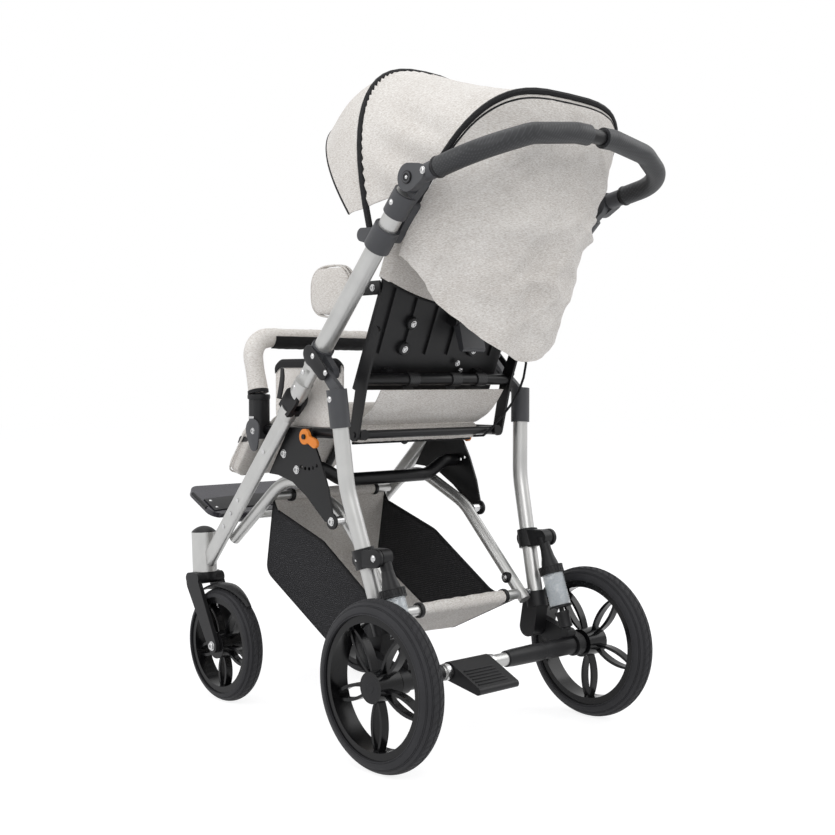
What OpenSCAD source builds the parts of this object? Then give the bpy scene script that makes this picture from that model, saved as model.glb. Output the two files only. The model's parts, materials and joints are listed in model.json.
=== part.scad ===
// Special needs buggy: four wheels, sprung rear axle, folding push frame, tilting seat unit, fan hood.
// X points to the child's left, Y to the rear, Z up. Y values here count from the rear axle.

/* [Wheels] */
// Rear wheel diameter over the tyre
rear_wheel_d = 300; // [296:1:304]
// Rear tyre width
rear_tyre_w = 48; // [44:1:50]
// Half track of the rear wheels
rear_wheel_x = 280; // [278:1:286]
// Rear tyre depth from the tread to the rim
rear_tyre_depth = 26.5; // [25:0.5:30]
// Front wheel diameter over the tyre
front_wheel_d = 238; // [232:1:242]
// Front tyre width
front_tyre_w = 43; // [38:1:44]
// Front tyre depth from the tread to the rim
front_tyre_depth = 19; // [17:0.5:22]
// Spoke pairs in each wheel
spoke_pairs = 5; // [3:1:6]
// Hub diameter
hub_d = 55; // [50:1:60]
// Rear stub axle diameter
stub_d = 12; // [10:1:14]

/* [Castors] */
// Half track of the castors
castor_x = 190; // [189:1:194]
// Steering axis at the foot of the steerer
steer_y = -674; // [-678:1:-670]
// Height of the steerer's foot
steerer_z = 265; // [262:1:270]
// Forward lean of the steering axis
steer_lean = 3; // [0:0.5:4]
// Distance of the castor axle behind the steering axis
castor_trail = 68; // [60:1:69]
// Steerer tube diameter
steerer_d = 52; // [48:1:54]
// Steerer tube length
steerer_len = 84; // [80:1:90]
// Steering stem diameter
stem_d = 24; // [20:1:26]
// Castor axle diameter
castor_axle_d = 10; // [8:1:12]
// Fork leg thickness
fork_leg_t = 9; // [7:1:10]

/* [Main tubes] */
// Half spacing of the main tubes at their feet
main_foot_x = 192; // [190:1:195]
// Foot of the main tubes, forwards of the rear axle
main_foot_y = -647; // [-650:1:-645]
// Height of the foot of the main tubes
main_foot_z = 300; // [297:1:303]
// Half spacing of the handle pivots
knuckle_x = 246; // [244:1:248]
// Handle pivot behind the rear axle
knuckle_y = 50; // [46:1:54]
// Height of the handle pivot
knuckle_z = 1015; // [1010:1:1020]
// Depth of the main tubes
main_tube_d = 36; // [34:1:38]
// Width of the flat lower tubes
flat_tube_w = 20; // [18:1:21]
// Distance of the fold joint along the main tube
fold_s = 476; // [472:1:480]

/* [Frame] */
// Diameter of the arch tubes
arch_d = 24; // [20:1:25]
// Diameter of the rear legs
leg_d = 30; // [28:1:31]
// Thickness of the seat plates
plate_t = 4; // [3:0.5:5]
// Inner face of the seat plates
plate_x = 196; // [195.5:0.5:197]
// Diameter of the rear axle tube
axle_d = 25; // [22:1:27]
// Half width of the basket
basket_x = 150; // [130:1:151]
// Wall of the basket
basket_wall = 3; // [2:0.5:5]

/* [Handle] */
// Reach of the handle arms from their pivots to the corners
handle_reach = 152; // [146:1:156]
// Rise of the handle arms above level
handle_rise = 11; // [9:0.5:14]
// Reach of the bar's middle from the pivots
bar_reach = 188.745; // [186:0.005:194]
// Rise of the bar's middle above the pivots
bar_rise = 75; // [70:1:80]
// Handle bar diameter
handle_d = 25; // [22:1:27]
// Grip diameter
grip_d = 36; // [32:1:38]
// Bend radius of the handle corners
handle_bend = 80; // [60:1:100]
// Bare length between the two grips
grip_gap = 40; // [20:2:80]
// Knuckle diameter
knuckle_d = 48; // [44:1:50]
// Knuckle thickness, both halves
knuckle_t = 32; // [30:1:34]
// Travel of the knuckle buttons
button_travel = 4; // [2:0.5:4.5]
// Diameter of the knuckle buttons
button_d = 22; // [18:1:26]

/* [Hood] */
// Half width of the hood at the front bow
hood_x = 221; // [216:1:221]
// Diameter of the hood bows
bow_d = 12; // [9:1:13]
// Thickness of the hood cloth
cloth_t = 2.5; // [2:0.5:3]
// Drop of the rear drape's lowest point, as a height
drape_z = 708; // [690:2:740]

/* [Seat] */
// Half spacing of the seat rails
rail_x = 178; // [176:1:179]
// Height of the seat rails
rail_z = 573; // [570:1:576]
// Diameter of the seat rails
rail_d = 20; // [18:1:20]
// Front bar of the seat frame
seat_front_y = -545; // [-550:1:-540]
// Height of the seat cushion's crown
seat_crown = 50; // [40:1:56]
// Seat tilt pivot, forwards of the rear axle
tilt_y = -303; // [-306:1:-300]
// Height of the tilt pivot
tilt_z = 566; // [563:1:567]
// Length of the backrest shell
back_len = 360; // [340:2:370]
// Half width of the backrest shell
back_x = 180; // [170:1:184]
// Lean of the backrest
back_lean = 23; // [20:0.5:26]
// Width of the calf pad
calf_w = 300; // [260:2:310]
// Width of the footplate
footplate_w = 300; // [260:2:310]
// Length of the footplate
footplate_len = 120; // [100:2:126]
// Thickness of the footplate
footplate_t = 12; // [9:1:14]

/* [Hidden] */
$fn = 40;

// Colours
silver = "#c9c9c8";
dark_grey = "#4c4c50";
black = "#222224";
rubber = "#2e2e30";
linen = "#d3cec8";
shade_linen = "#a9a198";
orange = "#f08a24";
clear = "#dfe6ea";

// Clearances and cuts
running_gap = 0.05;
moving_gap = 0.3;
seat_gap = 0.15;
overrun = 2;
weld_gap = 0.3;
weld_half = 0.7;
weld_step = 0.1;

// Main tube line
main_run = [knuckle_x - main_foot_x, knuckle_y - main_foot_y, knuckle_z - main_foot_z];
main_len = norm(main_run);
main_lean = asin(main_run.y / main_len);
main_splay = atan2(main_run.x, main_run.z);
main_dir = main_run / main_len;
main_foot = [main_foot_x, main_foot_y, main_foot_z];
main_weld = 12;
lower_tube_end = 34;
tongue_t = 12;
tongue_r = 16;
tongue_neck_w = 24;
lock_cheek_r = 20;
lock_w = 28;
lock_bore_r = 26;
fold_pin_d = 8;
upper_tube_start = 26;
flat_top = 84;
push_tube_top = 30;
fold_point = main_foot + fold_s * main_dir;

// Steerer and castor
steerer_cap_h = 13;
steerer_cap_r = 34;
stem_top_gap = 6;
fork_side_gap = 3;
fork_crown_r = 12;
fork_crown_reach = 12;
fork_crown_drop = 13;
fork_shoulder_r = 22;
fork_shoulder_drop = 22;
fork_foot_r = 15;
front_r = front_wheel_d / 2;
castor_drop = (steerer_z - front_r + castor_trail * sin(steer_lean)) / cos(steer_lean);
fork_leg_x = front_tyre_w / 2 + fork_side_gap;
rear_r = rear_wheel_d / 2;

// Wheels
rear_rim_d = rear_wheel_d - 2 * rear_tyre_depth;
front_rim_d = front_wheel_d - 2 * front_tyre_depth;
rim_ring_t = 13;
rim_lip_share = 0.82;
spoke_t = 16;
spoke_slat_w = 6;
spoke_leaf_half_w = 15;
spoke_bite = 6;
hub_wall = 4;
hub_gap = 6;

// Rear leg, casting and shock
leg_top = [244.5, -158, 650];
leg_bend = [231, -146, 478];
leg_foot = [205, -75, 227];
leg_bend_r = 200;
leg_cap_wall = 4;
leg_cap_len = 62;
leg_cap_crown = 8;
latch_y = -198;
latch_z = 688;
latch_pin_d = 10;
latch_arm_r = 9;
latch_arm_x = 233;
latch_arm_t = 10;
latch_root_r = 12;
ear_x = 217;
ear_t = 14;
ear_r = 14;
ear_slot_w = 12;
ear_slot_len = 30;
latch_s = 591;
latch_ring_len = 40;
latch_ring_wall = 4;
ear_root_r = 17;
swing_y = -88;
swing_z = 178;
swing_pin_d = 12;
swing_arm_x = 224;
swing_arm_t = 20;
swing_root_r = 18;
swing_tip_r = 22;
casting_x = 190;
casting_w = 31.5;
casting_lobe_r = 20;
casting_lobe_top = [-80, 224];
casting_socket_len = 22;
casting_wall = 6;
casting_floor = 8;
shock_x = 212;
shock_foot = [shock_x, 1, 175];
shock_head = [shock_x, -66, 359];
shock_len = norm(shock_head - shock_foot);
shock_eye_r = 10;
shock_eye_x = 203;
shock_neck_r = 9;
shock_neck_len = 36;
shock_rod_r = 5;
shock_rod_len = 86;
cylinder_start = 54;
cylinder_end = 120;
cylinder_r = 21;
cylinder_wall = 2.5;
collar_r = 23.5;
collar_len = 16;
head_neck_r = 11;
clamp_eye_r = 15;
clamp_eye_x = 203;
clamp_eye_w = 22;
clamp_len = 36;
clamp_wall = 6;
clamp_ear_r = 18;
clamp_z = 353;
spring_r = 13;
spring_wire_d = 3.2;
spring_turns = 7;
spring_margin = 0.3;
spring_rings = 8;
spring_sides = 6;

// Arch tubes, cross tubes, seat plates
arch_rear = [165, -71, 238];
arch_knee = [162, -240, 419];
arch_crest = [166, -402, 492];
arch_front = [171, -590, 340];
arch_bend = 110;
strut_y = -81;
strut_z = 249.5;
strut_r = 8;
strut_start_x = 177.1;
strut_end_x = 185;
plate_tip_y = -230;
plate_tip_z = 408;
plate_tip_r = 15;
plate_spacer_r = 9;
plate_spacer_start = 174.5;
plate_origin = [-427, 402];
plate_size = [200, 181];
plate_outline_shares = [[0.33, 1], [0, 0.48], [0.15, 0.47], [0.38, 0.41], [0.6, 0.27], [0.76, 0.13],
    [0.89, 0.02], [1.0, 0.09], [0.94, 0.35], [0.84, 0.61], [0.71, 0.86], [0.66, 1]];
tilt_pin_d = 10;
lock_hole_r = 3.5;
lock_hole_reach = 62;
lock_holes = 5;
lock_hole_first = -62;
lock_hole_step = -11.5;
tilt_rail_d = 26;
tilt_rail_drop = 61;
tilt_rail_sag = 27;
tilt_rail_flat_x = 115;
tilt_rail_shoulder_x = 165;
tilt_rail_bend = 60;
rear_cross = [-81, 249.5];
rear_cross_d = 20;
front_cross = [-470, 438];
front_cross_d = 18;
cross_end_x = 152.4;
front_cross_end_x = 155.6;
hem_wall = 2;
hem_half_len = 108;
basket_top_y = -470;
basket_front_y = -478;
basket_front_top = 430;
basket_front_low = [-503, 280];
basket_floor_front = [-290, 158];
basket_floor_rear = [-262, 158];
basket_rear_top = [-86, 239];
basket_edge_rear = [-148, 245];
basket_edge_mid = [-318, 357];
basket_edge_front = [-462, 404];
basket_mouth = 480;
rivet_r = 4.5;
rivet_h = 1.6;
rivet_places = [100, 141, 182, 327, 425];
axle_y = 0;
arm_outer_gap = 5.7;

// Handle and knuckles
handle_start = 30;
handle_dir = [0, cos(handle_rise), sin(handle_rise)];
// The bar bows back and up between its corners
bar_shoulder_x = 150;
bar_shoulder_back = 9;
bar_shoulder_drop = 12;
bar_flat_x = 50;
knuckle_point = [knuckle_x, knuckle_y, knuckle_z];
knuckle_pin_d = 12;
knuckle_pin_len = 6;
knuckle_neck_r = 18;
knuckle_neck_s = 42;
knuckle_collar_len = 46;
knuckle_collar_wall = 4;
handle_socket_r = 15.5;
handle_socket_start = 26;
handle_socket_end = 54;
grip_start = 62;
button_pocket = 8;
button_len = 6;
button_proud = 2;

// Hood
hood_clamp_s = 872;
hood_clamp_len = 46;
hood_clamp_wall = 6;
hood_ear_x = 228;
hood_ear_t = 16;
hood_ear_r = 12;
hood_pin_d = 8;
hood_pin_x = 214;
front_bow_eye_r = 10;
front_bow_eye_x = 215.5;
front_bow_foot = [-90, 932];
front_bow_top = [-186, 1269];
visor_foot = [-120, 938];
visor_top = [-318, 1175];
rear_bow_x = 208;
rear_bow_foot = [18, 984];
rear_bow_top = [177.6, 1168];
rear_boss_x = 202;
rear_boss_w = 17;
rear_boss_r = 9;
rear_boss_root = [-36, 924];
hoop_power_share = 0.77;
rear_hoop_power_share = 0.61;
cloth_edge_angle = 5;
drape_edge_angle = 8;
drape_x = 203;
drape_side_y = -10;
drape_side_z = 898;
drape_mid_y = 90;
drape_drop_share = 2;
drape_back_share = 3.2;
drape_folds = 7;
drape_fold_depth = 9;
drape_belly = 40;
drape_belly_rise = 0.8;
drape_belly_round = 1.1;
bow_steps = 30;
bow_sides = 8;
sheet_edge_gap = 0.8;
tangent_step = 1;

// Seat unit
rail_rear_y = -158;
seat_bend = 45;
recline_y = -172;
recline_pin_d = 12;
seat_cross_d = 16;
board_low = 566;
board_t = 12;
board_rear_y = -214;
tilt_pin_end = 211;
hook_x = 202;
hook_t = 6;
hook_ring_r = 15;
hook_neck = [12, -5];
hook_neck_r = 7;
hook_tip = [30, -12];
hook_tip_r = 9;
guard_x = 181;
guard_t = 6;
guard_front_y = -427;
guard_rear_y = -212;
guard_top = 715;
guard_corner_r = 25;
socket_y = -482;
socket_len = 40;
socket_low = 556;
socket_top = 642;
socket_x = 165;
socket_w = 38;
socket_corner_r = 15;
bumper_x = 186;
bumper_leg_d = 18;
bumper_leg_low = 596;
bumper_pad_d = 42;
bumper_pad_low = 648;
bumper_top_y = -509;
bumper_top_z = 762;
bumper_bend = 46;
cushion_w = 325;
cushion_len = 318;
cushion_mid_y = -368;
cushion_rim = 14;
cushion_pull_share = 0.03;
pad_steps = 12;
pad_rear_gap = 0.4;

// Backrest
back_origin = [0, -185, 656];
back_t = 8;
back_cross = [-148, 676];
back_cross_d = 22;
back_arm_x = 189;
back_arm_t = 5.5;
back_arm_root_r = 12;
back_arm_mid_r = 14;
back_arm_tip = [-110, 764];
back_arm_tip_r = 9;
back_rib_w = 6;
back_rib_t = 5;
back_ribs = 6;
back_rib_margin = 30;
standoff_w = 14;
standoff_x = 120;
back_pad_crown = 26;
back_pad_rim = 12;
back_pad_margin = 8;
lever_ears_z = 150;
lever_ears_y = 18;
lever_ear_root_y = 3;
lever_ear_r = 9;
lever_ear_t = 7;
lever_x = -70;
lever_w = 60;
lever_pin_d = 8;
lever_eye_r = 8.5;
lever_tip = [34, -42];
lever_tip_r = 6;
trunk_pad = [124, 100];
trunk_pad_crown = 13;
trunk_pad_rim = 8;
trunk_pad_at = [158, -249, 843];
trunk_bar_x = 181;
trunk_bar_t = 4;
trunk_bar_h = 26;
trunk_bar_front_y = -300;
trunk_bar_rear_y = -108;
trunk_pad_steps = 8;
cable_d = 5;
cable_route = [[-86, -113, 782], [-104, -104, 779], [-130, -96, 772], [-160, -91, 757], [-182, -90, 735],
    [-194, -96, 708], [-199, -107, 680], [-198, -119, 652], [-190, -132, 626], [-176, -145, 601],
    [-158, -156, 578], [-138, -160, 563], [-120, -171, 562.2]];
cable_sides = 8;

// Legrest and footrest
leg_dir = [0, -0.6, -0.8];
leg_front = [0, -0.8, 0.6];
hanger_x = 100;
hanger_d = 16;
hanger_len = 165;
hinge_sleeve_r = 15;
hinge_sleeve_w = 18;
calf_start = 14;
calf_len = 134;
calf_crown = 14;
calf_rim = 36;
rod_d = 10;
rod_start = 62;
foot_hinge = 250;
foot_bar_d = 16;
foot_bar_x = 118;
foot_sleeve_r = 12;
foot_sleeve_x = 58;
foot_sleeve_w = 34;
foot_tilt = 26.4;
foot_plate_start = 9;
foot_corner_r = 28;
rod_notch_gap = 2;
rod_notch_end = 24;
grip_strips = 5;
grip_strip_w = 9;
grip_strip_h = 2;
grip_strip_side = 20;
grip_strip_end = 16;

// Rear axle and brake
pedal_x = 16;
pedal_w = 100;
pedal_hub_r = 17;
pedal_tip = [74, 126];
pedal_tip_r = 7;

// Smoothness of the soft forms
cloth_steps = 24;
cloth_rows = 8;
drape_steps = 28;
drape_rows = 12;
visor_rows = 4;

function unit(v) = v / norm(v);
function bend_tangent(a, b, r) = r / tan(acos(a * b) / 2);

leg_hinge = [0, seat_front_y, rail_z];
foot_axis = leg_hinge + foot_hinge * leg_dir;
// The footplate's front edge and the handle's rear set the middle of the footprint
front_end_y = foot_axis.y - (foot_plate_start + footplate_len) * cos(foot_tilt)
    - footplate_t / 2 * sin(foot_tilt);
rear_end_y = knuckle_y + bar_reach + grip_d / 2;
rear_axle_y = -(front_end_y + rear_end_y) / 2;

// Moves the buggy from its rear axle to the middle of its footprint
module place() translate([0, rear_axle_y, 0]) children();

module both_sides() {
    children();
    mirror([1, 0, 0]) children();
}

// Local Z runs from p towards q
module along(p, q) {
    d = q - p;
    translate(p) rotate([0, acos(d.z / norm(d)), atan2(d.y, d.x)]) children();
}

module rod(p, q, d) along(p, q) cylinder(d = d, h = norm(q - p));

// A pin along X between two places on one axis
module cross_pin(at, x0, x1, r) translate([x0, at[0], at[1]]) rotate([0, 90, 0]) cylinder(r = r,
    h = x1 - x0);

// Extrudes a YZ outline from x0 towards the left side
module plate_yz(x0, t) translate([x0, 0, 0]) rotate([90, 0, 90]) linear_extrude(t) children();

// Two circles joined by their outer tangents
module link_2d(p, r, q, s) {
    d = q - p;
    turn = atan2(d.y, d.x);
    spread = acos((r - s) / norm(d));
    translate(p) circle(r);
    translate(q) circle(s);
    polygon([for (e = [spread, -spread]) p + r * [cos(turn + e), sin(turn + e)],
        for (e = [-spread, spread]) q + s * [cos(turn + e), sin(turn + e)]]);
}

// Round tube along points, with one bend radius at the inner points and a weld ring at each end of a bend
module bent_tube(points, d, bend) {
    last = len(points) - 1;
    in_dir = [for (i = [1:last]) unit(points[i] - points[i - 1])];
    trim = [for (i = [0:last]) i == 0 || i == last ? 0 : bend_tangent(-in_dir[i - 1], in_dir[i], bend)];
    for (i = [1:last]) {
        from = i == 1 ? 0 : trim[i - 1] + weld_gap;
        to = i == last ? 0 : trim[i] + weld_gap;
        rod(points[i - 1] + from * in_dir[i - 1], points[i] - to * in_dir[i - 1], d);
    }
    for (i = [1:last - 1]) {
        from = points[i] - trim[i] * in_dir[i - 1];
        to = points[i] + trim[i] * in_dir[i];
        inward = unit(in_dir[i] - in_dir[i - 1]);
        centre = points[i] + inward * norm([bend, trim[i]]);
        e1 = unit(from - centre);
        e2 = in_dir[i - 1];
        e3 = cross(e1, e2);
        multmatrix([[e1.x, e2.x, e3.x, centre.x], [e1.y, e2.y, e3.y, centre.y], [e1.z, e2.z, e3.z,
            centre.z],
                [0, 0, 0, 1]])
            rotate_extrude(angle = acos(in_dir[i - 1] * in_dir[i])) translate([bend, 0]) circle(d = d);
        rod(from - weld_half * in_dir[i - 1], from + weld_half * in_dir[i - 1], d + weld_step);
        rod(to - weld_half * in_dir[i], to + weld_half * in_dir[i], d + weld_step);
    }
}

// Closed body between a top and a bottom grid of points, both functions of u and v from 0 to 1
module slab(top, bottom, nu, nv) {
    n = (nu + 1) * (nv + 1);
    points = [for (f = [top, bottom]) for (i = [0:nu]) for (j = [0:nv]) f(i / nu, j / nv)];
    o = function(i, j) i * (nv + 1) + j;
    faces = [
        for (i = [0:nu - 1]) for (j = [0:nv - 1]) each [
            [o(i, j), o(i + 1, j + 1), o(i + 1, j)], [o(i, j), o(i, j + 1), o(i + 1, j + 1)],
            [n + o(i, j), n + o(i + 1, j), n + o(i + 1, j + 1)], [n + o(i, j), n + o(i + 1, j + 1),
                n + o(i, j + 1)]],
        for (i = [0:nu - 1]) each [
            [o(i, 0), o(i + 1, 0), n + o(i + 1, 0)], [o(i, 0), n + o(i + 1, 0), n + o(i, 0)],
            [o(i + 1, nv), o(i, nv), n + o(i, nv)], [o(i + 1, nv), n + o(i, nv), n + o(i + 1, nv)]],
        for (j = [0:nv - 1]) each [
            [o(0, j + 1), o(0, j), n + o(0, j)], [o(0, j + 1), n + o(0, j), n + o(0, j + 1)],
            [o(nu, j), o(nu, j + 1), n + o(nu, j + 1)], [o(nu, j), n + o(nu, j + 1), n + o(nu, j)]]];
    polyhedron(points, faces);
}

// Cloth of even thickness about the surface f of u and v
module sheet(f, t, nu, nv) {
    du = 1 / nu;
    dv = 1 / nv;
    normal = function(u, v) unit(cross(f(min(1, u + du), v) - f(max(0, u - du), v),
        f(u, min(1, v + dv)) - f(u, max(0, v - dv))));
    slab(function(u, v) f(u, v) + normal(u, v) * t / 2, function(u, v) f(u, v) - normal(u, v) * t / 2,
        nu, nv);
}

// Tube along a list of points, with the side vectors that set its ring
module sweep(path, sideways, r, sides) {
    n = len(path) - 1;
    tangent = [for (i = [0:n]) unit(path[min(n, i + 1)] - path[max(0, i - 1)])];
    across = [for (i = [0:n]) unit(sideways[i] - tangent[i] * (sideways[i] * tangent[i]))];
    points = [for (i = [0:n]) for (k = [0:sides - 1])
        path[i] + r * (cos(k * 360 / sides) * across[i] + sin(k * 360 / sides) * cross(tangent[i],
            across[i]))];
    p = function(k, i) i * sides + k % sides;
    faces = [
        for (i = [0:n - 1]) for (k = [0:sides - 1]) each [
            [p(k, i), p(k + 1, i + 1), p(k + 1, i)], [p(k, i), p(k, i + 1), p(k + 1, i + 1)]],
        for (k = [1:sides - 2]) each [[p(0, 0), p(k, 0), p(k + 1, 0)], [p(0, n), p(k + 1, n), p(k, n)]]];
    polyhedron(points, faces);
}

// Cushion with a crown, drawn-in sides and a flat back, w along X and l along Y
module cushion(w, l, rim, crown, pull, steps) {
    flat = function(u, v) [w * (u - 0.5) * (1 - pull * (1 - pow(2 * v - 1, 2))),
        l * (v - 0.5) * (1 - pull * (1 - pow(2 * u - 1, 2)))];
    edge = function(u, v) max(0, (1 - pow(2 * u - 1, 4)) * (1 - pow(2 * v - 1, 4)));
    slab(function(u, v) [each flat(u, v), rim + crown * sqrt(edge(u, v))],
        function(u, v) [each flat(u, v), 0.35 * rim * (1 - min(1, 4 * edge(u, v)))], steps, steps);
}

// Place on the left main tube at a distance s from its foot
module on_main(s) translate(main_foot) rotate([-main_lean, main_splay, 0]) translate([0, 0, s])
    children();

function main_at(s) = main_foot + s * main_dir;
function yz(p) = [p.y, p.z];

module flat_tube_2d(grow = 0) {
    half = (main_tube_d - flat_tube_w) / 2;
    square([flat_tube_w + 2 * grow, 2 * half], center = true);
    for (side = [-1, 1]) translate([0, side * half]) circle(d = flat_tube_w + 2 * grow);
}

// Front frame
module on_steerer() translate([castor_x, steer_y, steerer_z]) rotate([steer_lean, 0, 0]) children();

module front_legs() color(silver) place() both_sides() difference() {
    union() {
        on_main(-main_weld) linear_extrude(fold_s - lower_tube_end + main_weld) flat_tube_2d();
        on_steerer() cylinder(d = steerer_d, h = steerer_len);
    }
    on_steerer() translate([0, 0, -overrun]) cylinder(d = stem_d + 2 * running_gap,
        h = steerer_len + 2 * overrun);
}

module steerer_caps() color(black) place() both_sides() on_steerer() translate([0, 0, steerer_len])
    intersection() {
        cylinder(d = steerer_d, h = steerer_cap_h);
        translate([0, 0, steerer_cap_h - steerer_cap_r]) sphere(steerer_cap_r);
    }

module fold_locks() color(black) place() both_sides() {
    difference() {
        union() {
            plate_yz(fold_point.x - lock_w / 2, lock_w)
                link_2d(yz(fold_point), lock_cheek_r, yz(main_at(fold_s - lower_tube_end)),
                    main_tube_d / 2);
        }
        on_main(0) translate([-lock_w, -main_tube_d, 0])
            cube([2 * lock_w, 2 * main_tube_d, fold_s - lower_tube_end + seat_gap]);
        cross_pin(yz(fold_point), fold_point.x - tongue_t / 2 - moving_gap,
            fold_point.x + tongue_t / 2 + moving_gap,
            lock_bore_r);
    }
    cross_pin(yz(fold_point), fold_point.x - lock_w / 2, fold_point.x + lock_w / 2, fold_pin_d / 2);
}

module arch_tubes() color(silver) place() both_sides()
    bent_tube([arch_rear, arch_knee, arch_crest, arch_front], arch_d, arch_bend);

module seat_plates() color(black) place() both_sides() difference() {
    plate_yz(plate_x, plate_t) union() {
        polygon([for (p = plate_outline_shares) plate_origin + [p[0] * plate_size[0],
            p[1] * plate_size[1]]]);
        translate([plate_tip_y, plate_tip_z]) circle(plate_tip_r);
    }
    cross_pin([tilt_y, tilt_z], plate_x - overrun, plate_x + plate_t + overrun,
        tilt_pin_d / 2 + running_gap);
    for (k = [0:lock_holes - 1]) {
        turn = lock_hole_first + k * lock_hole_step;
        cross_pin([tilt_y, tilt_z] + lock_hole_reach * [cos(turn), sin(turn)], plate_x - overrun,
            plate_x + plate_t + overrun, lock_hole_r);
    }
}

module tilt_rail() color(black) place() {
    end_x = plate_x - seat_gap;
    top = tilt_z - tilt_rail_drop;
    low = top - tilt_rail_sag;
    bent_tube([[end_x, tilt_y, top], [tilt_rail_shoulder_x, tilt_y, top], [tilt_rail_flat_x, tilt_y, low],
        [-tilt_rail_flat_x, tilt_y, low], [-tilt_rail_shoulder_x, tilt_y, top], [-end_x, tilt_y, top]],
        tilt_rail_d, tilt_rail_bend);
}

// Rear frame
module rear_leg(d) bent_tube([leg_top, leg_bend, leg_foot], d, leg_bend_r);

module rear_legs() color(silver) place() both_sides() rear_leg(leg_d);

module leg_caps() color(dark_grey) place() both_sides() {
    upper_len = norm(leg_top - leg_bend);
    difference() {
        union() {
            along(leg_bend, leg_top) translate([0, 0, upper_len - leg_cap_len])
                cylinder(d = leg_d + 2 * leg_cap_wall, h = leg_cap_len + leg_cap_crown);
            plate_yz(latch_arm_x, latch_arm_t)
                link_2d(yz(leg_top), latch_root_r, [latch_y, latch_z], latch_arm_r);
        }
        along(leg_bend, leg_top) cylinder(d = leg_d + 2 * seat_gap, h = upper_len + seat_gap);
    }
    cross_pin([latch_y, latch_z], ear_x - overrun, latch_arm_x + overrun, latch_pin_d / 2);
}

module rear_castings() color(black) place() both_sides() {
    difference() {
        union() {
            along(leg_foot, leg_bend) translate([0, 0, -casting_floor])
                cylinder(d = leg_d + 2 * casting_wall, h = casting_socket_len + casting_floor);
            plate_yz(casting_x, casting_w)
                link_2d(casting_lobe_top, casting_lobe_r, [swing_y, swing_z], casting_lobe_r);
        }
        along(leg_foot, leg_bend) translate([0, 0, -seat_gap])
            cylinder(d = leg_d + 2 * seat_gap, h = casting_socket_len + overrun);
    }
    cross_pin([swing_y, swing_z], casting_x + casting_w - overrun, swing_arm_x + swing_arm_t + overrun,
        swing_pin_d / 2);
}

module cross_tubes() color(silver) place() {
    cross_pin(rear_cross, -cross_end_x, cross_end_x, rear_cross_d / 2);
    cross_pin(front_cross, -front_cross_end_x, front_cross_end_x, front_cross_d / 2);
}

// Hanging basket with a sloping rim, held by sewn hems on the two cross tubes
module basket() color(black) place() {
    outline = [[basket_front_y, basket_front_top], basket_front_low, basket_floor_front,
        basket_floor_rear,
        basket_rear_top, basket_edge_rear, basket_edge_mid, basket_edge_front, [basket_top_y,
            basket_front_top]];
    inset = basket_wall;
    difference() {
        union() {
            plate_yz(-basket_x, 2 * basket_x) polygon(outline);
            cross_pin(rear_cross, -hem_half_len, hem_half_len, rear_cross_d / 2 + seat_gap + hem_wall);
            cross_pin(front_cross, -hem_half_len, hem_half_len, front_cross_d / 2 + seat_gap + hem_wall);
        }
        plate_yz(inset - basket_x, 2 * (basket_x - inset)) polygon([
            [basket_front_y + inset, basket_front_top + inset], basket_front_low + [inset, 0],
            basket_floor_front + [0, inset], basket_floor_rear + [0, inset],
            basket_rear_top + [-inset, -inset / 2], [basket_rear_top[0] - inset,
                basket_front_top - hem_half_len]]);
        cross_pin(rear_cross, -basket_x - overrun, basket_x + overrun, rear_cross_d / 2 + seat_gap);
        cross_pin(front_cross, -basket_x - overrun, basket_x + overrun, front_cross_d / 2 + seat_gap);
    }
}

// Spacers between frame tubes, and rivets in the flat tubes
module frame_fasteners() color(silver) place() both_sides() {
    cross_pin([plate_tip_y, plate_tip_z], plate_spacer_start, plate_x - seat_gap, plate_spacer_r);
    cross_pin([strut_y, strut_z], strut_start_x, strut_end_x, strut_r);
    for (s = rivet_places)
        on_main(s) translate([flat_tube_w / 2, 0, 0]) rotate([0, 90, 0]) cylinder(r = rivet_r,
            h = rivet_h);
}

// Rear springing
module on_shock(q) along(shock_foot, shock_head) translate([0, 0, q]) children();

module shock_clamps() color(black) place() both_sides() {
    leg_run = leg_bend - leg_foot;
    clamp_at = leg_foot + leg_run * (clamp_z - leg_foot.z) / leg_run.z;
    difference() {
        union() {
            along(clamp_at, leg_bend) translate([0, 0, -clamp_len / 2])
                cylinder(d = leg_d + 2 * clamp_wall, h = clamp_len);
            plate_yz(clamp_eye_x, clamp_eye_w) link_2d(yz(clamp_at), clamp_ear_r, yz(shock_head),
                clamp_eye_r);
        }
        rear_leg(leg_d + 2 * seat_gap);
    }
    on_shock(cylinder_end) cylinder(r = collar_r, h = collar_len);
    on_shock(cylinder_end + collar_len) cylinder(r = head_neck_r,
        h = shock_len - cylinder_end - collar_len);
}

module shock_cylinders() color(clear) place() both_sides() on_shock(cylinder_start) difference() {
    cylinder(r = cylinder_r, h = cylinder_end - cylinder_start);
    translate([0, 0, -overrun])
        cylinder(r = cylinder_r - cylinder_wall, h = cylinder_end - cylinder_start + 2 * overrun);
}

spring_len = cylinder_end - cylinder_start - 2 * spring_margin - spring_wire_d;
spring_steps = spring_turns * spring_rings;
spring_path = [for (i = [0:spring_steps]) [spring_r * cos(360 * i / spring_rings),
    spring_r * sin(360 * i / spring_rings), spring_len * i / spring_steps]];
least_spring_gap = min([for (i = [0:spring_steps - spring_rings])
    for (j = [i + spring_rings - 1:spring_steps])
    norm(spring_path[i] - spring_path[j])]) - spring_wire_d;
echo(least_spring_gap = least_spring_gap);

module shock_springs() color(silver) place() both_sides()
    on_shock(cylinder_start + spring_margin + spring_wire_d / 2)
        sweep(spring_path, [for (p = spring_path) [p.x, p.y, 0]], spring_wire_d / 2, spring_sides);

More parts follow.
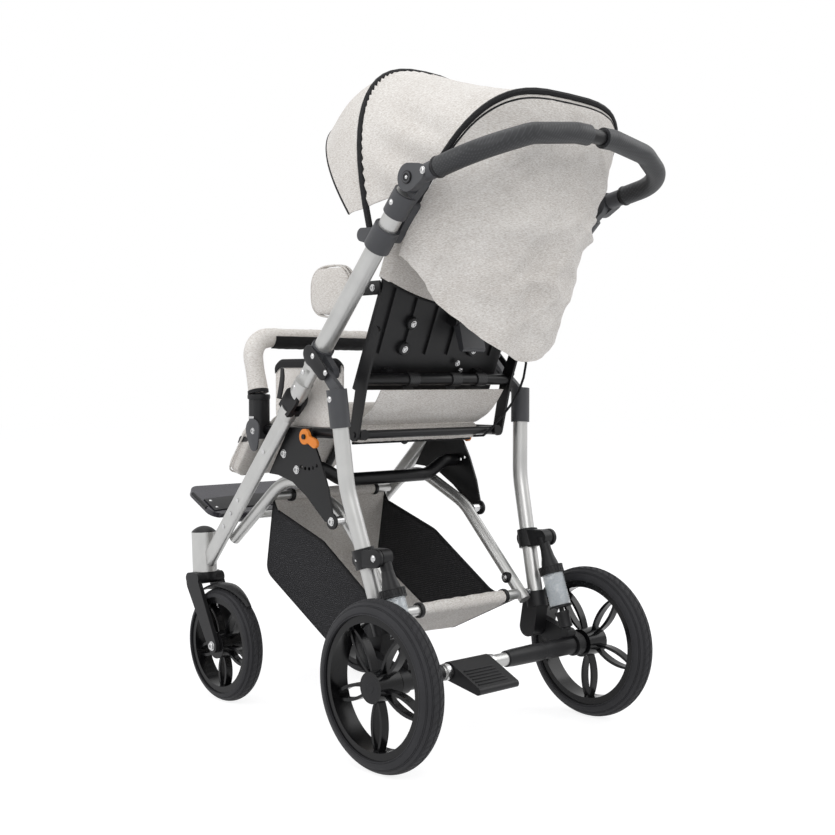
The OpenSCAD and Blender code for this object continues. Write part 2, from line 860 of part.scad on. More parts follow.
module swing_arms() color(black) place() both_sides() {
    difference() {
        plate_yz(swing_arm_x, swing_arm_t) link_2d([swing_y, swing_z], swing_root_r, [axle_y, rear_r],
            swing_tip_r);
        cross_pin([swing_y, swing_z], swing_arm_x - overrun, swing_arm_x + swing_arm_t + overrun,
            swing_pin_d / 2 + running_gap);
        cross_pin([axle_y, rear_r], swing_arm_x - overrun, swing_arm_x + swing_arm_t + overrun,
            axle_d / 2 + seat_gap);
    }
    cross_pin(yz(shock_foot), shock_eye_x, swing_arm_x, shock_eye_r);
    on_shock(0) cylinder(r = shock_neck_r, h = shock_neck_len);
    on_shock(0) cylinder(r = shock_rod_r, h = shock_rod_len);
}

module rear_axle() color(silver) place() {
    hub_inner = swing_arm_x + swing_arm_t + arm_outer_gap;
    cross_pin([axle_y, rear_r], -hub_inner, hub_inner, axle_d / 2);
    stub_end = rear_wheel_x + rear_tyre_w / 2 - 2 * hub_gap;
    cross_pin([axle_y, rear_r], -stub_end, stub_end, stub_d / 2);
}

module brake_pedal() color(black) place() difference() {
    plate_yz(pedal_x, pedal_w) link_2d([axle_y, rear_r], pedal_hub_r, pedal_tip, pedal_tip_r);
    cross_pin([axle_y, rear_r], pedal_x - overrun, pedal_x + pedal_w + overrun, axle_d / 2 + running_gap);
}

// Wheels, with their axle along X
// A leaf spoke is the space between two bowed slats that meet at the hub and at the rim
module lens_2d(mid, half_l, half_w) {
    bow_r = (half_l * half_l + half_w * half_w) / (2 * half_w);
    intersection_for(side = [-1, 1]) translate([mid, side * (bow_r - half_w)]) circle(bow_r);
}

module leaf_2d(inner, outer) {
    mid = (inner + outer) / 2;
    half = (outer - inner) / 2;
    difference() {
        lens_2d(mid, half + spoke_slat_w, spoke_leaf_half_w);
        lens_2d(mid, half, spoke_leaf_half_w - spoke_slat_w);
    }
}

module on_wheel(at) translate(at) rotate([0, 90, 0]) children();

module rim(d, w, bore_d, inner_x, outer_x, bore_end) difference() {
    union() {
        rotate_extrude() translate([d / 2 - rim_ring_t, -w * rim_lip_share / 2])
            square([rim_ring_t - seat_gap, w * rim_lip_share]);
        translate([0, 0, inner_x]) cylinder(d = hub_d, h = outer_x - inner_x);
        for (k = [0:spoke_pairs - 1]) rotate([0, 0, k * 360 / spoke_pairs])
            translate([0, 0, -spoke_t / 2]) linear_extrude(spoke_t)
                leaf_2d(hub_d / 2 - spoke_bite, d / 2 - rim_ring_t + spoke_bite);
    }
    translate([0, 0, inner_x - overrun]) cylinder(d = bore_d, h = bore_end - inner_x + overrun);
}

module tyre(d, w, rim_d) rotate_extrude() difference() {
    translate([(d - w) / 2, 0]) circle(d = w);
    translate([0, -w]) square([rim_d / 2, 2 * w]);
}

rear_centre = [rear_wheel_x, axle_y, rear_r];
castor_centre_y = steer_y + castor_trail * cos(steer_lean) + castor_drop * sin(steer_lean);
front_centre = [castor_x, castor_centre_y, front_r];
rear_hub_inner = swing_arm_x + swing_arm_t + arm_outer_gap + moving_gap - rear_wheel_x;
rear_hub_outer = rear_tyre_w / 2 - hub_gap / 2;

module rear_rim() place() on_wheel(rear_centre)
    rim(rear_rim_d, rear_tyre_w, stub_d + 2 * running_gap, rear_hub_inner, rear_hub_outer,
        rear_hub_outer - hub_wall);

module front_rim() place() on_wheel(front_centre)
    rim(front_rim_d, front_tyre_w, castor_axle_d + 2 * running_gap,
        -front_tyre_w / 2 - fork_side_gap + moving_gap,
        front_tyre_w / 2 + fork_side_gap - moving_gap, front_tyre_w);

module rear_tyre() place() on_wheel(rear_centre) tyre(rear_wheel_d, rear_tyre_w, rear_rim_d);

module front_tyre() place() on_wheel(front_centre) tyre(front_wheel_d, front_tyre_w, front_rim_d);

module castor_fork() place() on_steerer() {
    outer_x = fork_leg_x + fork_leg_t;
    axle_at = [castor_trail, -castor_drop];
    for (x0 = [fork_leg_x, -outer_x])
        plate_yz(x0, fork_leg_t) link_2d([0, -fork_shoulder_drop], fork_shoulder_r, axle_at, fork_foot_r);
    plate_yz(-outer_x, 2 * outer_x) link_2d([-fork_crown_reach, -fork_crown_drop], fork_crown_r,
        [fork_crown_reach, -fork_crown_drop], fork_crown_r);
    translate([0, 0, -fork_crown_drop]) cylinder(d = steerer_d, h = fork_crown_drop - moving_gap);
    translate([0, 0, -fork_crown_drop])
        cylinder(d = stem_d, h = fork_crown_drop + steerer_len - stem_top_gap);
    cross_pin(axle_at, -outer_x, outer_x, castor_axle_d / 2);
}

// Push frame
module push_tube() union() {
    on_main(fold_s + upper_tube_start) linear_extrude(flat_top - upper_tube_start) flat_tube_2d();
    on_main(fold_s + flat_top) cylinder(d = main_tube_d,
        h = main_len - push_tube_top - fold_s - flat_top);
}

module push_tubes() color(silver) place() both_sides() {
    push_tube();
    difference() {
        plate_yz(fold_point.x - tongue_t / 2, tongue_t) union() {
            link_2d(yz(fold_point), tongue_r, yz(main_at(fold_s + upper_tube_start + overrun)),
                tongue_neck_w / 2);
        }
        cross_pin(yz(fold_point), fold_point.x - tongue_t, fold_point.x + tongue_t,
            fold_pin_d / 2 + running_gap);
    }
}

module round_tube_cut() on_main(fold_s) cylinder(d = main_tube_d + 2 * seat_gap,
    h = main_len - push_tube_top - fold_s);

module latch_brackets() color(dark_grey) place() both_sides() {
    latch = [latch_y, latch_z];
    lift = unit([latch_z - fold_point.z, fold_point.y - latch_y]);
    difference() {
        union() {
            on_main(latch_s - latch_ring_len / 2) cylinder(d = main_tube_d + 2 * latch_ring_wall,
                h = latch_ring_len);
            plate_yz(ear_x, ear_t) link_2d(yz(main_at(latch_s)), ear_root_r, latch, ear_r);
        }
        round_tube_cut();
        plate_yz(ear_x - overrun, ear_t + 2 * overrun)
            link_2d(latch, ear_slot_w / 2, latch + ear_slot_len * lift, ear_slot_w / 2 + running_gap);
    }
}

module knuckle_bodies() color(dark_grey) place() both_sides() {
    inner_x = knuckle_x - knuckle_t / 2;
    difference() {
        union() {
            plate_yz(inner_x, knuckle_t / 2 - seat_gap)
                link_2d(yz(knuckle_point), knuckle_d / 2, yz(main_at(main_len - knuckle_neck_s)),
                    knuckle_neck_r);
            on_main(main_len - push_tube_top - knuckle_collar_len)
                cylinder(d = main_tube_d + 2 * knuckle_collar_wall, h = knuckle_collar_len);
        }
        round_tube_cut();
    }
    cross_pin(yz(knuckle_point), inner_x + knuckle_t / 4, knuckle_x + knuckle_pin_len, knuckle_pin_d / 2);
}

module hood_clamps() color(dark_grey) place() both_sides() {
    difference() {
        union() {
            on_main(hood_clamp_s - hood_clamp_len / 2)
                cylinder(d = main_tube_d + 2 * hood_clamp_wall, h = hood_clamp_len);
            plate_yz(hood_ear_x, hood_ear_t)
                link_2d(yz(main_at(hood_clamp_s)), main_tube_d / 2, front_bow_foot, hood_ear_r);
            plate_yz(rear_boss_x, rear_boss_w)
                link_2d(rear_boss_root, rear_boss_r, rear_bow_foot
                    - (rear_boss_r + sheet_edge_gap) * unit(rear_bow_top - rear_bow_foot), rear_boss_r);
        }
        round_tube_cut();
    }
    cross_pin(front_bow_foot, hood_pin_x, hood_ear_x + overrun, hood_pin_d / 2);
}

// Handle
module on_handle(reach) translate(knuckle_point + reach * handle_dir) children();

function handle_path(start, x_end) = let (middle = [0, knuckle_y + bar_reach, knuckle_z + bar_rise])
    [knuckle_point + start * handle_dir, knuckle_point + handle_reach * handle_dir,
        middle + [bar_shoulder_x, -bar_shoulder_back, -bar_shoulder_drop],
        middle + [bar_flat_x, 0, 0], middle + [x_end, 0, 0]];

function mirrored(path) = [for (i = [len(path) - 1:-1:0]) [-path[i].x, path[i].y, path[i].z]];

function without_last(path) = [for (i = [0:len(path) - 2]) path[i]];

module handle_knuckles() color(dark_grey) place() both_sides() {
    outer_x = knuckle_x + knuckle_t / 2;
    face_x = knuckle_x + seat_gap;
    socket_tip = yz(knuckle_point + handle_socket_start * handle_dir);
    difference() {
        union() {
            plate_yz(face_x, outer_x - face_x)
                link_2d(yz(knuckle_point), knuckle_d / 2, socket_tip, handle_socket_r);
            rod(knuckle_point + handle_socket_start * handle_dir,
                knuckle_point + handle_socket_end * handle_dir,
                2 * handle_socket_r);
        }
        cross_pin(yz(knuckle_point), knuckle_x - overrun, knuckle_x + knuckle_pin_len + moving_gap,
            knuckle_pin_d / 2 + running_gap);
        cross_pin(yz(knuckle_point), outer_x - button_pocket, outer_x + overrun,
            button_d / 2 + running_gap);
        rod(knuckle_point + (handle_start - seat_gap) * handle_dir,
            knuckle_point + (handle_socket_end + overrun) * handle_dir, handle_d + 2 * seat_gap);
    }
}

module handle_bar() color(black) place() let (half = without_last(handle_path(handle_start, 0)))
    bent_tube(concat(half, mirrored(half)), handle_d, handle_bend);

module handle_grips() color(black) place() both_sides() difference() {
    bent_tube(handle_path(grip_start, grip_gap / 2), grip_d, handle_bend);
    bent_tube(handle_path(grip_start - overrun, grip_gap / 2 - overrun), handle_d + 2 * seat_gap,
        handle_bend);
}

module knuckle_button() place() {
    outer_x = knuckle_x + knuckle_t / 2;
    cross_pin(yz(knuckle_point), outer_x + button_proud - button_len, outer_x + button_proud,
        button_d / 2);
}

// Hood bows are rounded hoops: foot and top are YZ places, half is the half width, a runs from 0 to 180
function hoop(half, foot, top, a, power) = let (rise = pow(sin(a), power))
    [half * sign(cos(a)) * pow(abs(cos(a)), power), foot[0] + rise * (top[0] - foot[0]),
        foot[1] + rise * (top[1] - foot[1])];
function bow_1(a) = hoop(hood_x, front_bow_foot, front_bow_top, a, hoop_power_share);
function bow_2(a) = hoop(rear_bow_x, rear_bow_foot, rear_bow_top, a, rear_hoop_power_share);
function bow_3(a) = hoop(hood_x, visor_foot, visor_top, a, hoop_power_share);
function hem(a) = [drape_x * cos(a), drape_side_y + (drape_mid_y - drape_side_y) * pow(sin(a),
    drape_back_share),
    drape_side_z - (drape_side_z - drape_z) * pow(sin(a), drape_drop_share)];
// Point between p and q, a share v of the way, kept clear of both ends
function between(p, q, v, near, far) = let (d = norm(q - p)) p + (q - p)
    * (near + v * (d - near - far)) / d;

module bow(f) {
    normal = unit(cross(f(90) - f(0), f(180) - f(0)));
    sweep([for (i = [0:bow_steps]) f(180 * i / bow_steps)], [for (i = [0:bow_steps]) normal],
        bow_d / 2, bow_sides);
}

module rear_bow() color(black) place() bow(function(a) bow_2(a));

module front_bow() color(black) place() difference() {
    union() {
        bow(function(a) bow_1(a));
        both_sides() cross_pin(front_bow_foot, front_bow_eye_x, hood_ear_x - moving_gap, front_bow_eye_r);
    }
    both_sides() cross_pin(front_bow_foot, hood_pin_x - bow_d, hood_ear_x, hood_pin_d / 2 + running_gap);
}

module hood_cloth() color(linen) place() {
    edge = bow_d / 2 + sheet_edge_gap;
    span = 180 - 2 * cloth_edge_angle;
    slant = function(a, run)
        edge / norm(cross(unit(bow_2(a + tangent_step) - bow_2(a - tangent_step)), unit(run)));
    sheet(function(u, v) let (a = cloth_edge_angle + span * u, p = bow_2(a), q = bow_1(a))
        between(p, q, v, slant(a, q - p), edge), cloth_t, cloth_steps, cloth_rows);
}

module visor() color(linen) place() {
    span = 180 - 2 * cloth_edge_angle;
    sheet(function(u, v) let (a = cloth_edge_angle + span * u)
        between(bow_1(a), bow_3(a), v, bow_d / 2 + sheet_edge_gap, 0), cloth_t, cloth_steps, visor_rows);
}

// Rear drape: hangs behind the rear bow, with soft folds that deepen towards the hem
module hood_drape() color(linen) place() {
    span = 180 - 2 * drape_edge_angle;
    bow_run = unit(rear_bow_top - rear_bow_foot);
    behind = (bow_d / 2 + sheet_edge_gap + cloth_t / 2) * [0, bow_run[1], -bow_run[0]];
    sheet(function(u, v) let (a = drape_edge_angle + span * u, top = bow_2(a) + behind,
            hung = top + (hem(a) - top) * v)
        hung + [0, drape_belly * pow(max(0, sin(180 * pow(v, drape_belly_rise))), drape_belly_round) * sin(a)
            + drape_fold_depth * v * sin(180 * drape_folds * u), 0],
        cloth_t, drape_steps, drape_rows);
}

// Seat unit
module seat_rails(d) bent_tube([[rail_x, rail_rear_y, rail_z], [rail_x, seat_front_y, rail_z],
    [-rail_x, seat_front_y, rail_z], [-rail_x, rail_rear_y, rail_z]], d, seat_bend);

module seat_frame() color(black) place() {
    seat_rails(rail_d);
    cross_pin([recline_y, rail_z], -rail_x, rail_x, seat_cross_d / 2);
    both_sides() {
        cross_pin([tilt_y, tilt_z], rail_x, tilt_pin_end, tilt_pin_d / 2);
        cross_pin([recline_y, rail_z], rail_x, back_arm_x + back_arm_t + overrun, recline_pin_d / 2);
    }
}

module seat_board() color(black) place() translate([0, 0, board_low]) linear_extrude(board_t)
    difference() {
    board_2d();
    translate([-rail_x, seat_front_y]) square([2 * rail_x, hinge_sleeve_r + moving_gap]);
    for (side = [-1, 1]) translate([side * (socket_x + socket_w / 2), socket_y])
        square([socket_w + 2 * moving_gap, socket_len + 2 * moving_gap], center = true);
}

module board_2d() {
    corner = seat_bend - rail_d / 2 - moving_gap;
    corner_x = rail_x - seat_bend;
    corner_y = seat_front_y + seat_bend;
    translate([-corner_x - corner, corner_y]) square([2 * (corner_x + corner), board_rear_y - corner_y]);
    translate([-corner_x, corner_y - corner]) square([2 * corner_x, board_rear_y - corner_y + corner]);
    for (side = [-1, 1]) translate([side * corner_x, corner_y]) circle(corner);
}

module seat_cushion() color(linen) place()
    translate([0, cushion_mid_y, board_low + board_t + pad_rear_gap])
        cushion(cushion_w, cushion_len, cushion_rim, seat_crown - cushion_rim, cushion_pull_share,
            pad_steps);

module rounded_2d(low, high, r) {
    translate([low[0] + r, low[1]]) square([high[0] - low[0] - 2 * r, high[1] - low[1]]);
    translate([low[0], low[1] + r]) square([high[0] - low[0], high[1] - low[1] - 2 * r]);
    for (y = [low[0] + r, high[0] - r]) for (z = [low[1] + r, high[1] - r]) translate([y, z]) circle(r);
}

module side_guards() color(linen) place() both_sides() plate_yz(guard_x, guard_t)
    rounded_2d([guard_front_y, rail_z + rail_d / 2 + seat_gap], [guard_rear_y, guard_top],
        guard_corner_r);

module bumper_sockets() color(black) place() both_sides() difference() {
    translate([socket_x + socket_w / 2, socket_y, socket_low]) linear_extrude(socket_top - socket_low)
        rounded_2d([-socket_w / 2, -socket_len / 2], [socket_w / 2, socket_len / 2], socket_corner_r);
    translate([rail_x, socket_y - socket_len, rail_z]) rotate([-90, 0, 0])
        cylinder(d = rail_d + 2 * seat_gap, h = 2 * socket_len);
    translate([bumper_x, socket_y, bumper_leg_low - overrun])
        cylinder(d = bumper_leg_d + 2 * running_gap, h = socket_top - bumper_leg_low + 2 * overrun);
}

module bumper_bar() color(linen) place() {
    both_sides() translate([bumper_x, socket_y, bumper_leg_low])
        cylinder(d = bumper_leg_d, h = bumper_pad_low - bumper_leg_low + overrun);
    bent_tube([[bumper_x, socket_y, bumper_pad_low], [bumper_x, bumper_top_y, bumper_top_z],
        [-bumper_x, bumper_top_y, bumper_top_z], [-bumper_x, socket_y, bumper_pad_low]], bumper_pad_d,
            bumper_bend);
}

module tilt_hooks() color(orange) place() both_sides() difference() {
    pivot = [tilt_y, tilt_z];
    plate_yz(hook_x, hook_t) union() {
        translate(pivot) circle(hook_ring_r);
        link_2d(pivot + hook_neck, hook_neck_r, pivot + hook_tip, hook_tip_r);
    }
    cross_pin(pivot, hook_x - overrun, hook_x + hook_t + overrun, tilt_pin_d / 2 + running_gap);
}

// Backrest, in its own leaning frame: X across, Y to the rear, Z up the back
module on_back() translate(back_origin) rotate([-back_lean, 0, 0]) children();

back_cross_reach = (back_cross[0] - back_origin.y) * cos(back_lean) - (back_cross[1] - back_origin.z)
    * sin(back_lean);
back_cross_rise = (back_cross[0] - back_origin.y) * sin(back_lean) + (back_cross[1] - back_origin.z)
    * cos(back_lean);

module back_frame() color(black) place() {
    cross_pin(back_cross, -back_arm_x - overrun, back_arm_x + overrun, back_cross_d / 2);
    both_sides() difference() {
        plate_yz(back_arm_x, back_arm_t) union() {
            link_2d([recline_y, rail_z], back_arm_root_r, back_cross, back_arm_mid_r);
            link_2d(back_cross, back_arm_mid_r, back_arm_tip, back_arm_tip_r);
        }
        cross_pin([recline_y, rail_z], back_arm_x - overrun, back_arm_x + back_arm_t + overrun,
            recline_pin_d / 2 + running_gap);
    }
}

module back_shell() color(black) place() on_back() {
    translate([-back_x, -back_t, 0]) cube([2 * back_x, back_t, back_len]);
    for (k = [0:back_ribs - 1])
        translate([-back_x + back_rib_margin + k * (2 * (back_x - back_rib_margin) - back_rib_w)
            / (back_ribs - 1), 0,
                lever_ears_z / 2])
            cube([back_rib_w, back_rib_t, back_len - lever_ears_z / 2 - back_rib_margin]);
    for (side = [-1, 1])
        translate([side * standoff_x - standoff_w / 2, -overrun, back_cross_rise - standoff_w])
            cube([standoff_w, back_cross_reach - back_cross_d / 2 - seat_gap + overrun, 2 * standoff_w]);
    for (x = [lever_x - lever_ear_t - moving_gap, lever_x + lever_w + moving_gap])
        plate_yz(x, lever_ear_t) link_2d([lever_ear_root_y, lever_ears_z], lever_ear_r, [lever_ears_y,
            lever_ears_z],
            lever_ear_r);
    translate([0, 0, 0]) cross_pin([lever_ears_y, lever_ears_z], lever_x - lever_ear_t,
        lever_x + lever_w + lever_ear_t,
        lever_pin_d / 2);
}

module recline_lever() color(dark_grey) place() on_back() {
    pivot = [lever_ears_y, lever_ears_z];
    difference() {
        plate_yz(lever_x, lever_w) link_2d(pivot, lever_eye_r, pivot + lever_tip, lever_tip_r);
        cross_pin(pivot, lever_x - overrun, lever_x + lever_w + overrun, lever_pin_d / 2 + running_gap);
    }
}

module back_cushion() color(linen) place() on_back()
    translate([0, -back_t - pad_rear_gap, back_len / 2]) rotate([90, 0, 0])
        cushion(2 * (back_x - back_pad_margin), back_len - 2 * back_pad_margin, back_pad_rim,
            back_pad_crown,
            cushion_pull_share, pad_steps);

module trunk_supports() color(linen) place() both_sides() {
    translate([trunk_bar_x - pad_rear_gap, trunk_pad_at.y, trunk_pad_at.z]) rotate([90, 0, -90])
        cushion(trunk_pad[0], trunk_pad[1], trunk_pad_rim, trunk_pad_crown, cushion_pull_share,
            trunk_pad_steps);
    translate([trunk_bar_x, trunk_bar_front_y, trunk_pad_at.z - trunk_bar_h / 2])
        cube([trunk_bar_t, trunk_bar_rear_y - trunk_bar_front_y, trunk_bar_h]);
}

module recline_cable() color(black) place()
    sweep(cable_route, [for (p = cable_route) [0, 1, 0.3]], cable_d / 2, cable_sides);

// Legrest, telescopic footrest and footplate
module legrest_frame() color(black) place() both_sides() {
    hanger_root = leg_hinge + [hanger_x, 0, 0];
    difference() {
        union() {
            cross_pin(yz(leg_hinge), hanger_x - hinge_sleeve_w / 2, hanger_x + hinge_sleeve_w / 2,
                hinge_sleeve_r);
            rod(hanger_root, hanger_root + hanger_len * leg_dir, hanger_d);
        }
        cross_pin(yz(leg_hinge), hanger_x - hinge_sleeve_w, hanger_x + hinge_sleeve_w,
            rail_d / 2 + running_gap);
        rod(hanger_root + (rod_start - overrun) * leg_dir, hanger_root + (hanger_len + overrun) * leg_dir,
            rod_d + 2 * running_gap);
    }
}

module calf_pad() color(linen) place()
    translate(leg_hinge + (calf_start + calf_len / 2) * leg_dir + (hanger_d / 2 + seat_gap) * leg_front)
        rotate([atan2(leg_dir.z, leg_dir.y) + 180, 0, 0])
            cushion(calf_w, calf_len, calf_rim, calf_crown, cushion_pull_share, pad_steps);

module footrest_rods() color(silver) place() {
    both_sides() rod(leg_hinge + [hanger_x, 0, 0] + rod_start * leg_dir, foot_axis + [hanger_x, 0, 0],
        rod_d);
    cross_pin(yz(foot_axis), -foot_bar_x, foot_bar_x, foot_bar_d / 2);
}

// Footplate frame: Y runs from its hinge to its front edge, Z is its upper side
module on_footplate() translate(foot_axis) rotate([-foot_tilt, 0, 0]) mirror([0, 1, 0]) children();

module footplate() color(dark_grey) place() difference() {
    union() {
        on_footplate() translate([0, 0, -footplate_t / 2]) linear_extrude(footplate_t)
            rounded_2d([-footplate_w / 2, foot_plate_start], [footplate_w / 2,
                foot_plate_start + footplate_len],
                foot_corner_r);
        both_sides() cross_pin(yz(foot_axis), foot_sleeve_x, foot_sleeve_x + foot_sleeve_w,
            foot_sleeve_r);
    }
    cross_pin(yz(foot_axis), -foot_bar_x - overrun, foot_bar_x + overrun, foot_bar_d / 2 + running_gap);
    both_sides() cross_pin(yz(foot_axis), foot_sleeve_x + foot_sleeve_w, foot_bar_x + foot_sleeve_r,
        foot_sleeve_r);
    cross_pin(yz(foot_axis), -foot_sleeve_x, foot_sleeve_x, foot_sleeve_r);
    both_sides() on_footplate() translate([hanger_x - rod_d / 2 - rod_notch_gap, 0, -footplate_t])
        cube([rod_d + 2 * rod_notch_gap, rod_notch_end, 2 * footplate_t]);
}

module footplate_grip() color(rubber) place() on_footplate()
    for (k = [0:grip_strips - 1]) {
        pitch = (footplate_len - 2 * grip_strip_end - grip_strip_w) / (grip_strips - 1);
        translate([grip_strip_side - footplate_w / 2, foot_plate_start + grip_strip_end + k * pitch,
            footplate_t / 2])
            cube([footplate_w - 2 * grip_strip_side, grip_strip_w, grip_strip_h]);
    }

front_legs();
steerer_caps();
fold_locks();
arch_tubes();
seat_plates();
tilt_rail();
rear_legs();
leg_caps();
rear_castings();
cross_tubes();
basket();
frame_fasteners();
shock_clamps();
shock_cylinders();
shock_springs();
push_tubes();
latch_brackets();
knuckle_bodies();
hood_clamps();
rear_bow();
hood_drape();
hood_cloth();
front_bow();
visor();
handle_knuckles();
handle_bar();
handle_grips();
color(black) knuckle_button();  // knuckle_button_left
color(black) mirror([1, 0, 0]) knuckle_button();  // knuckle_button_right
seat_frame();
seat_board();
seat_cushion();
side_guards();
bumper_sockets();
bumper_bar();
back_frame();
back_shell();
back_cushion();
trunk_supports();
recline_cable();
recline_lever();
legrest_frame();
calf_pad();
footrest_rods();
footplate();
footplate_grip();
tilt_hooks();
swing_arms();
rear_axle();
brake_pedal();
color(black) castor_fork();  // castor_fork_left
color(black) mirror([1, 0, 0]) castor_fork();  // castor_fork_right
color(black) rear_rim();  // rear_rim_left
color(black) mirror([1, 0, 0]) rear_rim();  // rear_rim_right
color(rubber) rear_tyre();  // rear_tyre_left
color(rubber) mirror([1, 0, 0]) rear_tyre();  // rear_tyre_right
color(black) front_rim();  // front_rim_left
color(black) mirror([1, 0, 0]) front_rim();  // front_rim_right
color(rubber) front_tyre();  // front_tyre_left
color(rubber) mirror([1, 0, 0]) front_tyre();  // front_tyre_right
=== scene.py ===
"""Special needs buggy: finishes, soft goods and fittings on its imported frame."""

from __future__ import annotations

import json
import logging
import math
from dataclasses import dataclass, field
from enum import Enum
from typing import Callable, Iterable, Sequence

import bpy
from mathutils import Matrix, Vector, noise

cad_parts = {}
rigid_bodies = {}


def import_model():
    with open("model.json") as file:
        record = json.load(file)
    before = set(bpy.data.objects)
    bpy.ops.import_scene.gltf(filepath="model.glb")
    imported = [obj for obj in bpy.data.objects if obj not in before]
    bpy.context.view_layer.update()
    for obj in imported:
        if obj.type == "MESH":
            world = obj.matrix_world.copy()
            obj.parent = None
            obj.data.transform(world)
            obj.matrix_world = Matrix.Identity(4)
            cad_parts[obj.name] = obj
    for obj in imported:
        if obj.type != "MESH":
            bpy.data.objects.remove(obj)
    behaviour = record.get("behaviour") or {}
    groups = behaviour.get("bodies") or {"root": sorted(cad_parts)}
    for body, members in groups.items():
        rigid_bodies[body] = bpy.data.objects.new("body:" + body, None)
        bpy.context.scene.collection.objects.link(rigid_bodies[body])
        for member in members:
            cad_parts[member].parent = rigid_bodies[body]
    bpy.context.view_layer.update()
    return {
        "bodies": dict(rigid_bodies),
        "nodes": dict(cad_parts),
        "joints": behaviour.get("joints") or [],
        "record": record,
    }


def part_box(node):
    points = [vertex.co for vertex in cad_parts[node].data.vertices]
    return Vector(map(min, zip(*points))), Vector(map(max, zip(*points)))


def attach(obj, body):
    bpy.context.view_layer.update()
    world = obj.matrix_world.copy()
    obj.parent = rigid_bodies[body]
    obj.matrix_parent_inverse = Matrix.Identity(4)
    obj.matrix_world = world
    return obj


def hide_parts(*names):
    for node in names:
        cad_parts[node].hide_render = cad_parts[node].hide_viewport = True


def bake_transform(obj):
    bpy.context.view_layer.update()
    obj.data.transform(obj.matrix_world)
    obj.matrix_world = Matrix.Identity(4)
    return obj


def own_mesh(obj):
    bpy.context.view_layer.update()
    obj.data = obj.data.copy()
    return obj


LOG = logging.getLogger("buggy")
MM = 0.001
# Row Y of the rear axle, in millimetres: frame sizes below count Y from that axle
AXLE_Y = 278.235
# Rear axle's height, middle of the near front wheel, and foot and lean of the backrest
AXLE_Z = 150.0
CASTOR_X, CASTOR_Y, CASTOR_Z = 190.0, -598.255, 119.0
BACK_Y, BACK_Z = -185.0, 656.0
BACK_LEAN = math.radians(23)
SIDES = ((1, "left"), (-1, "right"))
Point = Sequence[float]
Piece = bpy.types.Object
Tree = bpy.types.NodeTree
Node = bpy.types.Node
Socket = bpy.types.NodeSocket


def place(x: float, y: float, z: float) -> Vector:
    """Gives a place in the row frame from millimetres counted from the rear axle."""
    return Vector((x, y + AXLE_Y, z)) * MM


def linear(code: str) -> tuple[float, float, float, float]:
    """Turns an sRGB hex colour into linear values.

    Args:
        code: Colour as #rrggbb.

    Returns:
        Linear red, green, blue and an alpha of one.
    """
    parts = [int(code[i : i + 2], 16) / 255 for i in (1, 3, 5)]
    flat = [c / 12.92 if c <= 0.04045 else ((c + 0.055) / 1.055) ** 2.4 for c in parts]
    return (flat[0], flat[1], flat[2], 1.0)


def per_mm(size_mm: float) -> float:
    """Gives a noise scale whose grains are about that many millimetres across."""
    return 1.0 / (size_mm * MM)


def wave_per_mm(period_mm: float) -> float:
    """Gives a wave texture scale whose bands repeat after that many millimetres."""
    return 2 * math.pi / 20.0 / (period_mm * MM)


def add(tree: Tree, kind: str, settings: dict | None = None, links: dict | None = None) -> Node:
    """Adds one shader node.

    Args:
        tree: Node tree that takes it.
        kind: Node type name.
        settings: Input values by input name or number, or node properties by name.
        links: Output sockets by input name or number.

    Returns:
        The new node.
    """
    made = tree.nodes.new(kind)
    for key, value in (settings or {}).items():
        if isinstance(key, int) or key in made.inputs:
            made.inputs[key].default_value = value
        else:
            setattr(made, key, value)
    for key, source in (links or {}).items():
        tree.links.new(source, made.inputs[key])
    return made


class Pattern(Enum):
    """How a finish's surface is broken up."""

    MOULDED = "fine moulded grain"
    SATIN = "drawn and anodised"
    WEAVE = "melange weave"
    NET = "open net"
    HATCH = "crossed hatching"
    RUBBER = "dull rubber"
    CLEAR = "clear moulding"


